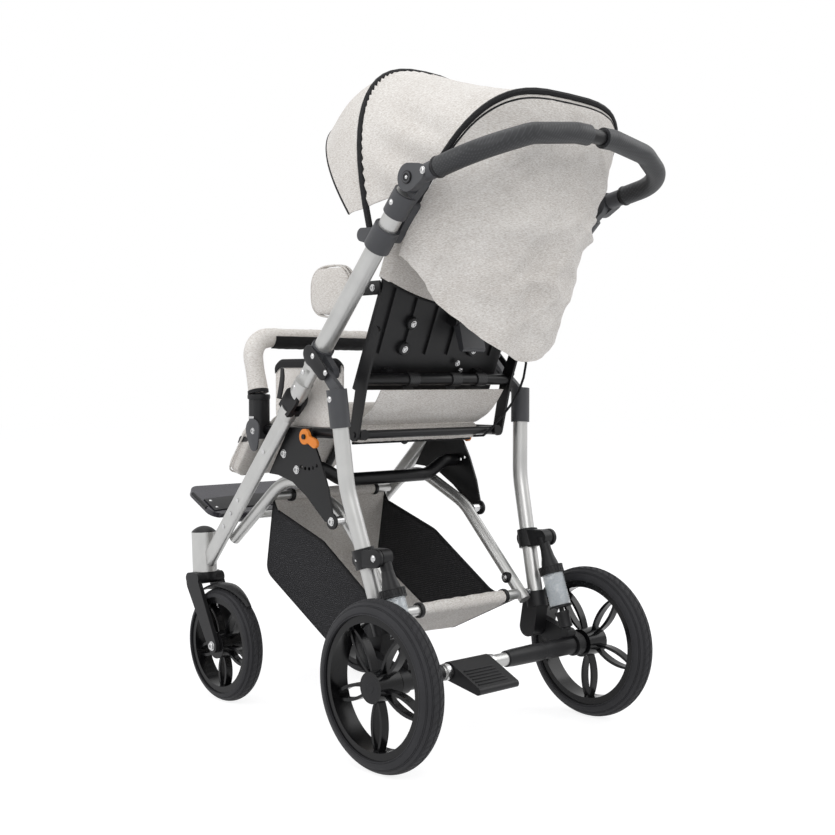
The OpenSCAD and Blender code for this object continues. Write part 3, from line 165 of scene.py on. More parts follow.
@dataclass(frozen=True)
class Finish:
    """One surface finish, built from the real material's own sizes."""

    name: str
    light: str
    dark: str
    pattern: Pattern
    grain_mm: float
    roughness: float
    metallic: float = 0.0
    ior: float = 1.5
    bump_mm: float = 0.1
    coat: float = 0.0
    sheen: float = 0.0
    specular: float = 0.5
    blotch_mm: float = 40.0
    shade_mm: float = 90.0

    def material(self) -> bpy.types.Material:
        """Builds the finish's material once.

        Returns:
            The material, made on the first call.
        """
        known = bpy.data.materials.get(self.name)
        if known:
            return known
        made = bpy.data.materials.new(self.name)
        made.use_nodes = True
        tree = made.node_tree
        tree.nodes.clear()
        shader = add(
            tree,
            "ShaderNodeBsdfPrincipled",
            {
                "Metallic": self.metallic,
                "Coat Weight": self.coat,
                "Coat Roughness": 0.08,
                "Sheen Weight": self.sheen,
                "Specular IOR Level": self.specular,
            },
        )
        if not self.metallic:
            shader.inputs["IOR"].default_value = self.ior
        add(tree, "ShaderNodeOutputMaterial", {}, {"Surface": shader.outputs[0]})
        where = add(tree, "ShaderNodeTexCoord").outputs["Object"]
        builders: dict[Pattern, Callable] = {
            Pattern.MOULDED: self._grain,
            Pattern.RUBBER: self._grain,
            Pattern.SATIN: self._grain,
            Pattern.WEAVE: self._weave,
            Pattern.NET: self._net,
            Pattern.HATCH: self._hatch,
            Pattern.CLEAR: self._clear,
        }
        builders[self.pattern](tree, shader, where)
        return made

    def _colour(
        self, tree: Tree, shader: Node, factor: Socket, spread: float = 0.2
    ) -> None:
        """Runs the colour from dark to light along a factor, about its middle.

        Args:
            tree: Its node tree.
            shader: Its shader.
            factor: Value from 0 to 1 that it follows.
            spread: Share of the factor to each side of its middle.
        """
        ramp = add(tree, "ShaderNodeValToRGB", {}, {"Fac": factor})
        ramp.color_ramp.elements[0].color = linear(self.dark)
        ramp.color_ramp.elements[1].color = linear(self.light)
        ramp.color_ramp.elements[0].position = 0.5 - spread
        ramp.color_ramp.elements[1].position = 0.5 + spread
        tree.links.new(ramp.outputs[0], shader.inputs["Base Color"])

    def _rough(self, tree: Tree, shader: Node, factor: Socket, swing: float) -> None:
        """Lets the roughness swing a little along a factor.

        Args:
            tree: Its node tree.
            shader: Its shader.
            factor: Value from 0 to 1 that it follows.
            swing: How far the roughness moves to each side.
        """
        spread = add(
            tree,
            "ShaderNodeMapRange",
            {"To Min": self.roughness - swing, "To Max": self.roughness + swing},
            {"Value": factor},
        )
        tree.links.new(spread.outputs[0], shader.inputs["Roughness"])

    def _bump(self, tree: Tree, shader: Node, height: Socket, strength: float) -> None:
        """Puts a bump of the finish's own depth on the surface.

        Args:
            tree: Its node tree.
            shader: Its shader.
            height: Height that the bump follows.
            strength: Strength of the bump.
        """
        bump = add(
            tree,
            "ShaderNodeBump",
            {"Strength": strength, "Distance": self.bump_mm * MM},
            {"Height": height},
        )
        tree.links.new(bump.outputs[0], shader.inputs["Normal"])

    def _grain(self, tree: Tree, shader: Node, where: Socket) -> None:
        """Mould grain or a drawn surface: soft blotches in tone, a finer grain in gloss and bump.

        Args:
            tree: Its node tree.
            shader: Its shader.
            where: Object coordinates.
        """
        blotch = {"Scale": per_mm(self.blotch_mm), "Detail": 3.0}
        broad = add(tree, "ShaderNodeTexNoise", blotch, {"Vector": where}).outputs[0]
        grain = {"Scale": per_mm(self.grain_mm), "Detail": 2.0}
        fine = add(tree, "ShaderNodeTexNoise", grain, {"Vector": where}).outputs[0]
        both = add(tree, "ShaderNodeMath", {"operation": "MULTIPLY_ADD", 1: 0.4, 2: 0.3}, {0: fine})
        mixed = add(tree, "ShaderNodeMix", {0: 0.5}, {2: broad, 3: both.outputs[0]})
        self._colour(tree, shader, mixed.outputs[0])
        self._rough(tree, shader, broad, 0.06)
        self._bump(tree, shader, fine, 0.25)

    def _weave(self, tree: Tree, shader: Node, where: Socket) -> None:
        """Melange yarn: crossed threads that vary in tone along their length, over broad soft shading.

        Args:
            tree: Its node tree.
            shader: Its shader.
            where: Object coordinates.
        """
        threads = []
        spun = {"Scale": per_mm(self.grain_mm * 3), "Detail": 3.0, "Roughness": 0.7}
        for turn in (0.0, math.pi / 2):
            lie = {"Rotation": (0.3, turn, 0.6), "Scale": (1.0, 1.0, 6.0)}
            laid = add(tree, "ShaderNodeMapping", lie, {"Vector": where})
            threads.append(add(tree, "ShaderNodeTexNoise", spun, {"Vector": laid.outputs[0]}).outputs[0])
        yarn = add(tree, "ShaderNodeMix", {0: 0.5}, {2: threads[0], 3: threads[1]}).outputs[0]
        shade = {"Scale": per_mm(self.shade_mm), "Detail": 2.0}
        broad = add(tree, "ShaderNodeTexNoise", shade, {"Vector": where})
        tone = add(tree, "ShaderNodeMix", {0: 0.1}, {2: yarn, 3: broad.outputs[0]})
        self._colour(tree, shader, tone.outputs[0], 0.09)
        shader.inputs["Roughness"].default_value = self.roughness
        self._bump(tree, shader, yarn, 0.5)

    def _net(self, tree: Tree, shader: Node, where: Socket) -> None:
        """Warp-knit net: rows of holes, drawn at four millimetres because the real two would not show.

        Args:
            tree: Its node tree.
            shader: Its shader.
            where: Object coordinates.
        """
        bands = []
        for axis in ("Y", "Z"):
            rows = {"wave_type": "BANDS", "bands_direction": axis, "Scale": wave_per_mm(self.grain_mm)}
            bands.append(add(tree, "ShaderNodeTexWave", rows, {"Vector": where}).outputs["Fac"])
        cross = add(tree, "ShaderNodeMath", {"operation": "MULTIPLY"}, {0: bands[0], 1: bands[1]})
        yarn = add(
            tree, "ShaderNodeMath", {"operation": "MAXIMUM", 1: 0.05}, {0: cross.outputs[0]}
        ).outputs[0]
        self._colour(tree, shader, yarn)
        span = {"From Min": 0.35, "From Max": 0.75, "To Min": 1.0, "To Max": 0.72}
        hole = add(tree, "ShaderNodeMapRange", span, {"Value": yarn})
        tree.links.new(hole.outputs[0], shader.inputs["Alpha"])
        shader.inputs["Roughness"].default_value = self.roughness
        self._bump(tree, shader, yarn, 0.6)

    def _hatch(self, tree: Tree, shader: Node, where: Socket) -> None:
        """Pressed diamond hatching on foam, drawn at its real pitch.

        Args:
            tree: Its node tree.
            shader: Its shader.
            where: Object coordinates.
        """
        bands = []
        rows = {"wave_type": "BANDS", "bands_direction": "X", "Scale": wave_per_mm(self.grain_mm)}
        for turn in (math.pi / 4, -math.pi / 4):
            laid = add(tree, "ShaderNodeMapping", {"Rotation": (turn, 0.0, turn)}, {"Vector": where})
            bands.append(add(tree, "ShaderNodeTexWave", rows, {"Vector": laid.outputs[0]}).outputs["Fac"])
        cross = add(
            tree, "ShaderNodeMath", {"operation": "MULTIPLY"}, {0: bands[0], 1: bands[1]}
        ).outputs[0]
        self._colour(tree, shader, cross)
        shader.inputs["Roughness"].default_value = self.roughness
        self._bump(tree, shader, cross, 0.7)

    def _clear(self, tree: Tree, shader: Node, where: Socket) -> None:
        """Clear moulding with faceted lights, thin enough for the spring to show through.

        Args:
            tree: Its node tree.
            shader: Its shader.
            where: Object coordinates.
        """
        scuffs = {"Scale": per_mm(self.grain_mm), "Detail": 2.0}
        scuff = add(tree, "ShaderNodeTexNoise", scuffs, {"Vector": where}).outputs[0]
        facet = add(tree, "ShaderNodeTexVoronoi", {"Scale": per_mm(self.grain_mm * 3)}, {"Vector": where})
        self._colour(tree, shader, scuff)
        self._rough(tree, shader, scuff, 0.05)
        self._bump(tree, shader, facet.outputs["Distance"], 0.8)
        shader.inputs["Transmission Weight"].default_value = 0.3
        shader.inputs["Alpha"].default_value = 0.5


MIRROR = Matrix.Diagonal((-1, 1, 1, 1))

# Melange polyester: pale grey and cream yarns spun together, so the cloth looks softly flecked and dull
MELANGE = Finish(
    "melange_polyester_cloth",
    "#f1efec",
    "#c3bcb5",
    Pattern.WEAVE,
    1.6,
    0.92,
    bump_mm=0.35,
    sheen=0.1,
    specular=0.2,
)
# Drawn aluminium tube, anodised: an even satin with long soft lights and no sparkle
SATIN_TUBE = Finish(
    "satin_anodised_aluminium", "#c4c4c2", "#b4b4b3", Pattern.SATIN, 1.2, 0.34, metallic=0.75, bump_mm=0.02
)
# Zinc-plated steel heads: small, bright and a little cloudy
ZINC = Finish(
    "zinc_plated_steel", "#d6d6d6", "#a9a9aa", Pattern.SATIN, 0.8, 0.25, metallic=1.0, bump_mm=0.02
)
# Moulded ABS with a fine spark grain: near black with a soft broad light
BLACK_ABS = Finish(
    "black_moulded_abs", "#212123", "#171718", Pattern.MOULDED, 1.0, 0.42, bump_mm=0.06, specular=0.25
)
# Glass-filled nylon: the charcoal of the clamps and knuckles, duller than the ABS
GREY_ABS = Finish("grey_moulded_nylon", "#434448", "#37383b", Pattern.MOULDED, 1.0, 0.5, bump_mm=0.06)
# Powder coat on steel: black with a slight orange-peel gloss
BLACK_STEEL = Finish(
    "black_powder_coated_steel",
    "#1a1a1c",
    "#111112",
    Pattern.MOULDED,
    0.9,
    0.36,
    bump_mm=0.05,
    specular=0.25,
)
# Warp-knit net: black yarn round small holes, seen as a dull dark veil
NET = Finish("black_warp_knit_net", "#3c3c40", "#1c1c1e", Pattern.NET, 4.0, 0.7, bump_mm=0.4, specular=0.25)
# Woven binding tape: black, dull and finely ribbed
PIPING = Finish(
    "black_binding_tape", "#222224", "#141416", Pattern.HATCH, 3.0, 0.7, bump_mm=0.2, specular=0.25
)
# Polypropylene webbing: black with a coarse twill that catches a little light
WEBBING = Finish("black_pp_webbing", "#29292b", "#171719", Pattern.HATCH, 3.4, 0.55, bump_mm=0.3)
# Pressed foam grip: soft charcoal with diamond hatching
FOAM = Finish("hatched_grip_foam", "#3a3b3e", "#2b2c2e", Pattern.HATCH, 4.2, 0.5, bump_mm=0.3, specular=0.4)
# Acetal buttons: clear warm orange with a low gloss
ORANGE = Finish("orange_moulded_pom", "#f39231", "#e57e18", Pattern.MOULDED, 1.0, 0.35, bump_mm=0.05)
# Nylon rims from a polished mould: deep black with sharp lights along the spokes
RIM_GLOSS = Finish(
    "gloss_black_nylon_rim", "#141416", "#0b0b0c", Pattern.MOULDED, 2.0, 0.22, bump_mm=0.03, specular=0.22
)
# Hub caps from an etched mould: the same black gone matt
HUB_MATT = Finish(
    "matt_nylon_hub_cap", "#2a2a2c", "#1f1f21", Pattern.MOULDED, 1.2, 0.6, bump_mm=0.08, specular=0.2
)
# Footplate moulding: dark grey with a smooth, wet-looking skin
FOOT_GLOSS = Finish(
    "gloss_grey_nylon_plate",
    "#3d3c43",
    "#302f35",
    Pattern.MOULDED,
    2.0,
    0.25,
    bump_mm=0.03,
    coat=0.2,
    specular=0.3,
)
# Tyre rubber: dull charcoal that greys a little in patches
TYRE = Finish(
    "dull_tyre_rubber", "#343437", "#252527", Pattern.RUBBER, 1.4, 0.62, bump_mm=0.15, specular=0.25
)
# Polycarbonate cylinder: clear, with faint scuffs in the gloss
CLEAR = Finish("clear_polycarbonate", "#f6fafc", "#dfe8f0", Pattern.CLEAR, 3.0, 0.12, ior=1.58, bump_mm=1.2)

NODE_FINISH: dict[str, Finish] = {"footplate": FOOT_GLOSS}

SLOT_FINISH: dict[str, Finish] = {
    "silver_tube": SATIN_TUBE,
    "fastener": ZINC,
    "black_plastic": BLACK_ABS,
    "grey_plastic": GREY_ABS,
    "black_steel": BLACK_STEEL,
    "mesh": NET,
    "clear_cylinder": CLEAR,
    "bow_rod": PIPING,
    "melange_cloth": MELANGE,
    "grip": FOAM,
    "orange": ORANGE,
    "gloss_rim": RIM_GLOSS,
    "tyre": TYRE,
}


def deselect() -> None:
    """Leaves edit mode and deselects everything."""
    if bpy.context.object and bpy.context.object.mode != "OBJECT":
        bpy.ops.object.mode_set(mode="OBJECT")
    bpy.ops.object.select_all(action="DESELECT")


def both_sides(*near: Matrix) -> list[Matrix]:
    """Gives placings on the near side and their mirror images, all near ones first."""
    return [*near, *(MIRROR @ turn for turn in near)]


def settle(
    piece: Piece, body: str, slot: str, replaced: Iterable[str] = (), finish: Finish | None = None
) -> Piece:
    """Dresses a finished piece and fixes it to its body.

    Args:
        piece: The piece, with its place in its mesh.
        body: Body that it moves with.
        slot: Material slot in the record.
        replaced: Frame nodes that it stands for.
        finish: Its finish, where it isn't the slot's own.

    Returns:
        The same piece.
    """
    piece.data.materials.clear()
    piece.data.materials.append((finish or SLOT_FINISH[slot]).material())
    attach(piece, body)
    for node in replaced:
        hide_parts(node)
    LOG.info("%s on %s", piece.name, body)
    return piece


def activate(piece: Piece) -> None:
    """Selects one piece alone and makes it the active one.

    Args:
        piece: The piece.
    """
    deselect()
    piece.select_set(True)
    bpy.context.view_layer.objects.active = piece


def apply_modifiers(piece: Piece) -> None:
    """Applies every modifier of a piece in order.

    Args:
        piece: The piece.
    """
    activate(piece)
    for modifier in list(piece.modifiers):
        bpy.ops.object.modifier_apply(modifier=modifier.name)


def smooth(piece: Piece, angle: float) -> None:
    """Shades a piece smooth up to an edge angle in degrees."""
    activate(piece)
    bpy.ops.object.shade_smooth_by_angle(angle=math.radians(angle))


def crumple(piece: Piece, depth: Callable[[Vector], float]) -> None:
    """Moves each point of a piece along its normal by a depth in millimetres.

    Args:
        piece: The piece.
        depth: Depth in millimetres at a place.
    """
    normals = [vertex.normal.copy() for vertex in piece.data.vertices]
    for vertex, out in zip(piece.data.vertices, normals):
        vertex.co = vertex.co + out * depth(vertex.co) * MM


def traveller(route: Sequence[Vector]) -> Callable[[float], Vector]:
    """Gives what turns a share from 0 to 1 into a place along a route.

    Args:
        route: Points of the route.

    Returns:
        The function from share to place.
    """
    count = len(route) - 1

    def at(share: float) -> Vector:
        """Gives the place at a share of the route."""
        k = min(count - 1, int(share * count))
        return route[k].lerp(route[k + 1], share * count - k)

    return at


def cloth_sheet(
    name: str, shape: Callable[[float, float], Vector], across: int, along: int, thick_mm: float
) -> Piece:
    """Makes a cloth sheet from a grid that a shape bends into place.

    Args:
        name: Piece name.
        shape: Place of the sheet at two shares from 0 to 1.
        across: Cells along the first share.
        along: Cells along the second share.
        thick_mm: Thickness in millimetres.

    Returns:
        The closed sheet.
    """
    deselect()
    bpy.ops.mesh.primitive_grid_add(x_subdivisions=across, y_subdivisions=along, size=2)
    piece = bpy.context.object
    piece.name = name
    for vertex in piece.data.vertices:
        vertex.co = shape((vertex.co.x + 1) / 2, (vertex.co.y + 1) / 2)
    shell = piece.modifiers.new("thickness", "SOLIDIFY")
    shell.thickness = thick_mm * MM
    shell.offset = 0.0
    apply_modifiers(piece)
    smooth(piece, 60)
    return piece


def tube(
    name: str, points: Sequence[Vector], radius_mm: float, sides: int = 12, closed: bool = False
) -> Piece:
    """Makes a round tube along points.

    Args:
        name: Piece name.
        points: Route in the row frame.
        radius_mm: Tube radius in millimetres.
        sides: Sides of the round.
        closed: Whether the route closes on itself.

    Returns:
        The tube as a mesh.
    """
    deselect()
    curve = bpy.data.curves.new(name, "CURVE")
    curve.dimensions = "3D"
    curve.bevel_depth = radius_mm * MM
    curve.bevel_resolution = max(1, sides // 4 - 1)
    curve.use_fill_caps = not closed
    line = curve.splines.new("POLY")
    line.points.add(len(points) - 1)
    line.use_cyclic_u = closed
    for spot, point in zip(line.points, points):
        spot.co = (*point, 1.0)
    piece = bpy.data.objects.new(name, curve)
    bpy.context.scene.collection.objects.link(piece)
    activate(piece)
    bpy.ops.object.convert(target="MESH")
    piece = bpy.context.object
    smooth(piece, 60)
    return piece


def rounded_route(corners: Sequence[Vector], bend_mm: float, steps: int = 8) -> list[Vector]:
    """Gives a route through corners with one bend radius.

    Args:
        corners: Corner points of the route.
        bend_mm: Bend radius in millimetres.
        steps: Points in each bend.

    Returns:
        Points along the route.
    """
    route = [corners[0].copy()]
    for before, corner, after in zip(corners, corners[1:], corners[2:]):
        come, go = (corner - before).normalized(), (after - corner).normalized()
        turn = come.angle(go)
        trim = bend_mm * MM * math.tan(turn / 2)
        start, stop = corner - come * trim, corner + go * trim
        middle = corner + (go - come).normalized() * math.hypot(bend_mm * MM, trim)
        spin = come.cross(go).normalized()
        for k in range(steps + 1):
            route.append(middle + Matrix.Rotation(turn * k / steps, 3, spin) @ (start - middle))
        route[-1] = stop
    route.append(corners[-1].copy())
    return route


def respaced(route: Sequence[Vector], step_mm: float) -> list[Vector]:
    """Gives points at even steps along a route.

    Args:
        route: Points of the route.
        step_mm: Step in millimetres.

    Returns:
        Points along the route.
    """
    total = sum((b - a).length for a, b in zip(route, route[1:]))
    count = max(2, int(round(total / (step_mm * MM))))
    spots, run, k = [route[0].copy()], 0.0, 0
    for a, b in zip(route, route[1:]):
        gap = (b - a).length
        while k + 1 < count and (k + 1) * total / count <= run + gap:
            k += 1
            spots.append(a.lerp(b, (k * total / count - run) / gap))
        run += gap
    spots.append(route[-1].copy())
    return spots


def hoop(half: float, foot: Point, top: Point, angle: float, power: float = 0.77) -> Vector:
    """Place on a hood bow.

    Args:
        half: Half width in millimetres.
        foot: Y and Z of the bow's feet.
        top: Y and Z of the bow's crown.
        angle: From 0 at the left foot to 180 degrees at the right foot.
        power: Squareness of the bow, where one is an ellipse.

    Returns:
        The place in the row frame.
    """
    a = math.radians(angle)
    rise = max(0.0, math.sin(a)) ** power
    side = math.copysign(abs(math.cos(a)) ** power, math.cos(a))
    return place(half * side, foot[0] + rise * (top[0] - foot[0]), foot[1] + rise * (top[1] - foot[1]))


def join(name: str, pieces: Sequence[Piece]) -> Piece:
    """Joins pieces into one.

    Args:
        name: Name of the joined piece.
        pieces: Pieces to join.

    Returns:
        The joined piece.
    """
    deselect()
    for piece in pieces:
        piece.select_set(True)
    bpy.context.view_layer.objects.active = pieces[0]
    if len(pieces) > 1:
        bpy.ops.object.join()
    joined = bpy.context.view_layer.objects.active
    joined.name = joined.data.name = name
    return joined


def facing(at: Vector, axis: Point, up: Point = (0.0, 0.0, 1.0)) -> Matrix:
    """Gives the placing whose Z runs along an axis.

    Args:
        at: Place in the row frame.
        axis: Direction of the local Z.
        up: Direction that the local Y leans towards.

    Returns:
        The placing.
    """
    z = Vector(axis).normalized()
    x = Vector(up).cross(z)
    x = x.normalized() if x.length > 1e-6 else Vector((1, 0, 0))
    turn = Matrix((x, z.cross(x), z)).transposed().to_4x4()
    turn.translation = at
    return turn


def fresh(
    name: str, points: Sequence[Point], edges: Sequence[Sequence[int]], faces: Sequence[Sequence[int]]
) -> Piece:
    """Starts a piece from a drawn profile, with points in millimetres.

    Args:
        name: Piece name.
        points: Points of the profile.
        edges: Pairs of point numbers.
        faces: Loops of point numbers.

    Returns:
        The piece, selected and active.
    """
    deselect()
    mesh = bpy.data.meshes.new(name)
    mesh.from_pydata([Vector(p) * MM for p in points], edges, faces)
    piece = bpy.data.objects.new(name, mesh)
    bpy.context.scene.collection.objects.link(piece)
    activate(piece)
    return piece


def turned(name: str, profile: Sequence[Sequence[float]], steps: int = 32) -> Piece:
    """Spins a profile about Z.

    Args:
        name: Piece name.
        profile: Radius and height pairs in millimetres.
        steps: Steps in the turn.

    Returns:
        The turned piece about the origin.
    """
    piece = fresh(name, [(r, 0, h) for r, h in profile], [(k, k + 1) for k in range(len(profile) - 1)], [])
    bpy.ops.object.mode_set(mode="EDIT")
    bpy.ops.mesh.select_all(action="SELECT")
    bpy.ops.mesh.spin(steps=steps, angle=2 * math.pi, center=(0, 0, 0), axis=(0, 0, 1))
    bpy.ops.mesh.select_all(action="SELECT")
    bpy.ops.mesh.remove_doubles(threshold=1e-6)
    bpy.ops.mesh.normals_make_consistent(inside=False)
    bpy.ops.object.mode_set(mode="OBJECT")
    smooth(piece, 35)
    return piece


def plate(name: str, outline: Sequence[Sequence[float]], thick_mm: float, bevel_mm: float = 0.8) -> Piece:
    """Makes a flat plate with rounded edges.

    Args:
        name: Piece name.
        outline: Corner pairs in millimetres in the plate's own plane, anticlockwise.
        thick_mm: Thickness along the plate's Z, from zero up.
        bevel_mm: Rounding of its edges.

    Returns:
        The plate about the origin.
    """
    piece = fresh(name, [(a, b, 0) for a, b in outline], [], [list(range(len(outline)))])
    bpy.ops.object.mode_set(mode="EDIT")
    bpy.ops.mesh.select_all(action="SELECT")
    bpy.ops.mesh.extrude_region_move(TRANSFORM_OT_translate={"value": (0, 0, thick_mm * MM)})
    bpy.ops.mesh.select_all(action="SELECT")
    bpy.ops.mesh.normals_make_consistent(inside=False)
    bpy.ops.object.mode_set(mode="OBJECT")
    edge = piece.modifiers.new("edge", "BEVEL")
    edge.width = bevel_mm * MM
    edge.segments = 2
    edge.limit_method = "ANGLE"
    edge.angle_limit = math.radians(50)
    apply_modifiers(piece)
    smooth(piece, 35)
    return piece


def block(name: str, size_mm: Point, bevel_mm: float) -> Piece:
    """Makes a block with rounded edges about the origin.

    Args:
        name: Piece name.
        size_mm: Its three sides in millimetres.
        bevel_mm: Rounding of its edges.

    Returns:
        The block.
    """
    deselect()
    bpy.ops.mesh.primitive_cube_add(size=1)
    piece = bpy.context.object
    piece.name = name
    piece.data.transform(Matrix.Diagonal((*[s * MM for s in size_mm], 1)))
    bpy.ops.object.mode_set(mode="EDIT")
    bpy.ops.mesh.select_all(action="SELECT")
    bpy.ops.mesh.bevel(offset=bevel_mm * MM, segments=3, affect="EDGES")
    bpy.ops.object.mode_set(mode="OBJECT")
    smooth(piece, 35)
    return piece


def copies(name: str, model: Piece, places: Iterable[Matrix]) -> Piece:
    """Copies one modelled piece to several places.

    Args:
        name: Name of the joined copies.
        model: The piece, about the origin. It is used up.
        places: One placing for each copy.

    Returns:
        The copies as one piece.
    """
    made = []
    for turn in places:
        twin = model.copy()
        twin.data = model.data.copy()
        twin.data.transform(turn)
        if turn.is_negative:
            twin.data.flip_normals()
        bpy.context.scene.collection.objects.link(twin)
        made.append(twin)
    bpy.data.objects.remove(model)
    return join(name, made)


def scatter(name: str, model: Piece, places: Iterable[Matrix], body: str, slot: str) -> Piece:
    """Copies one modelled piece to several places and settles the copies as one."""
    return settle(copies(name, model, places), body, slot)


def put_at(name: str, model: Piece, turn: Matrix) -> Piece:
    """Moves one modelled piece to its place and names it.

    Args:
        name: Piece name.
        model: The piece, about the origin.
        turn: Its placing.

    Returns:
        The piece.
    """
    model.data.transform(turn)
    model.name = model.data.name = name
    return model


def link_outline(p: Point, r: float, q: Point, s: float, steps: int = 14) -> list[tuple[float, float]]:
    """Gives the outline of two rounds joined by their tangents.

    Args:
        p: Middle of the first round.
        r: Its radius.
        q: Middle of the second round.
        s: Its radius.
        steps: Steps in each round.

    Returns:
        Outline pairs, anticlockwise.
    """
    turn = math.atan2(q[1] - p[1], q[0] - p[0])
    spread = math.acos((r - s) / math.dist(p, q))
    first = [turn + spread + (2 * math.pi - 2 * spread) * k / steps for k in range(steps + 1)]
    second = [turn - spread + 2 * spread * k / steps for k in range(steps + 1)]
    return [(p[0] + r * math.cos(a), p[1] + r * math.sin(a)) for a in first] + [
        (q[0] + s * math.cos(a), q[1] + s * math.sin(a)) for a in second
    ]


def side_plate(x: float) -> Matrix:
    """Stands a plate, drawn in Y and Z counted from the rear axle, in a plane across X.

    Args:
        x: Place across in millimetres.

    Returns:
        The placing.
    """
    turn = Matrix(((0, 0, 1, 0), (1, 0, 0, 0), (0, 1, 0, 0), (0, 0, 0, 1)))
    turn.translation = place(x, 0, 0)
    return turn


def rivet(name: str, radius: float, height: float) -> Piece:
    """Models one domed rivet head on a thin collar, standing on the XY plane.

    Args:
        name: Piece name.
        radius: Radius of the head in millimetres.
        height: Height of the head in millimetres.

    Returns:
        The piece.
    """
    dome = ((0, 1), (0.45, 0.93), (0.8, 0.62), (1, 0.2))
    head = [(radius * r, height * h) for r, h in dome]
    return turned(name, [*head, (radius, -0.6), (0, -0.6)], 20)


def bolt(name: str, radius: float, height: float) -> Piece:
    """Models one socket-head bolt with a washer and a sunk middle, standing on the XY plane.

    Args:
        name: Piece name.
        radius: Radius of the head in millimetres.
        height: Height of the head in millimetres.

    Returns:
        The piece.
    """
    shares = ((0, 0.4), (0.42, 0.4), (0.46, 1), (0.85, 1), (1, 0.8), (1, 0.25), (1.3, 0.22))
    head = [(radius * r, height * h) for r, h in shares]
    return turned(name, [*head, (radius * 1.3, -0.6), (0, -0.6)], 24)


def inflate(
    piece: Piece, voxel_mm: float, pressure: float, cap_mm: float, stay: Callable[[Vector], Vector]
) -> None:
    """Swells a closed form with a cloth simulation and keeps the result.

    Args:
        piece: The form, in its own frame about the origin.
        voxel_mm: Cell size of the remesh in millimetres.
        pressure: Pressure inside the form.
        cap_mm: Furthest that a point may move.
        stay: Brings a point back inside the room that the piece has.
    """
    grid = piece.modifiers.new("even_cells", "REMESH")
    grid.mode = "VOXEL"
    grid.voxel_size = voxel_mm * MM
    apply_modifiers(piece)
    rest = [vertex.co.copy() for vertex in piece.data.vertices]
    cloth = piece.modifiers.new("swelling", "CLOTH")
    cloth.settings.quality = 4
    cloth.settings.mass = 0.2
    cloth.settings.tension_stiffness = cloth.settings.compression_stiffness = 12
    cloth.settings.shear_stiffness = 6
    cloth.settings.bending_stiffness = 0.6
    cloth.settings.use_pressure = True
    cloth.settings.uniform_pressure_force = pressure
    cloth.settings.effector_weights.gravity = 0
    cloth.collision_settings.use_collision = False
    cloth.point_cache.frame_start, cloth.point_cache.frame_end = 1, 20
    scene = bpy.context.scene
    for frame in range(1, 21):
        scene.frame_set(frame)
    swollen = piece.evaluated_get(bpy.context.evaluated_depsgraph_get()).data.vertices
    moved = [vertex.co.copy() for vertex in swollen]
    piece.modifiers.remove(cloth)
    scene.frame_set(1)
    for vertex, start, end in zip(piece.data.vertices, rest, moved):
        run = end - start
        vertex.co = start + run * min(1.0, cap_mm * MM / max(run.length, 1e-9))
    for vertex in piece.data.vertices:
        vertex.co = stay(vertex.co)
    rounding = piece.modifiers.new("rounding", "SUBSURF")
    rounding.levels = rounding.render_levels = 1
    apply_modifiers(piece)
    deselect()
    piece.select_set(True)
    bpy.ops.object.shade_smooth()


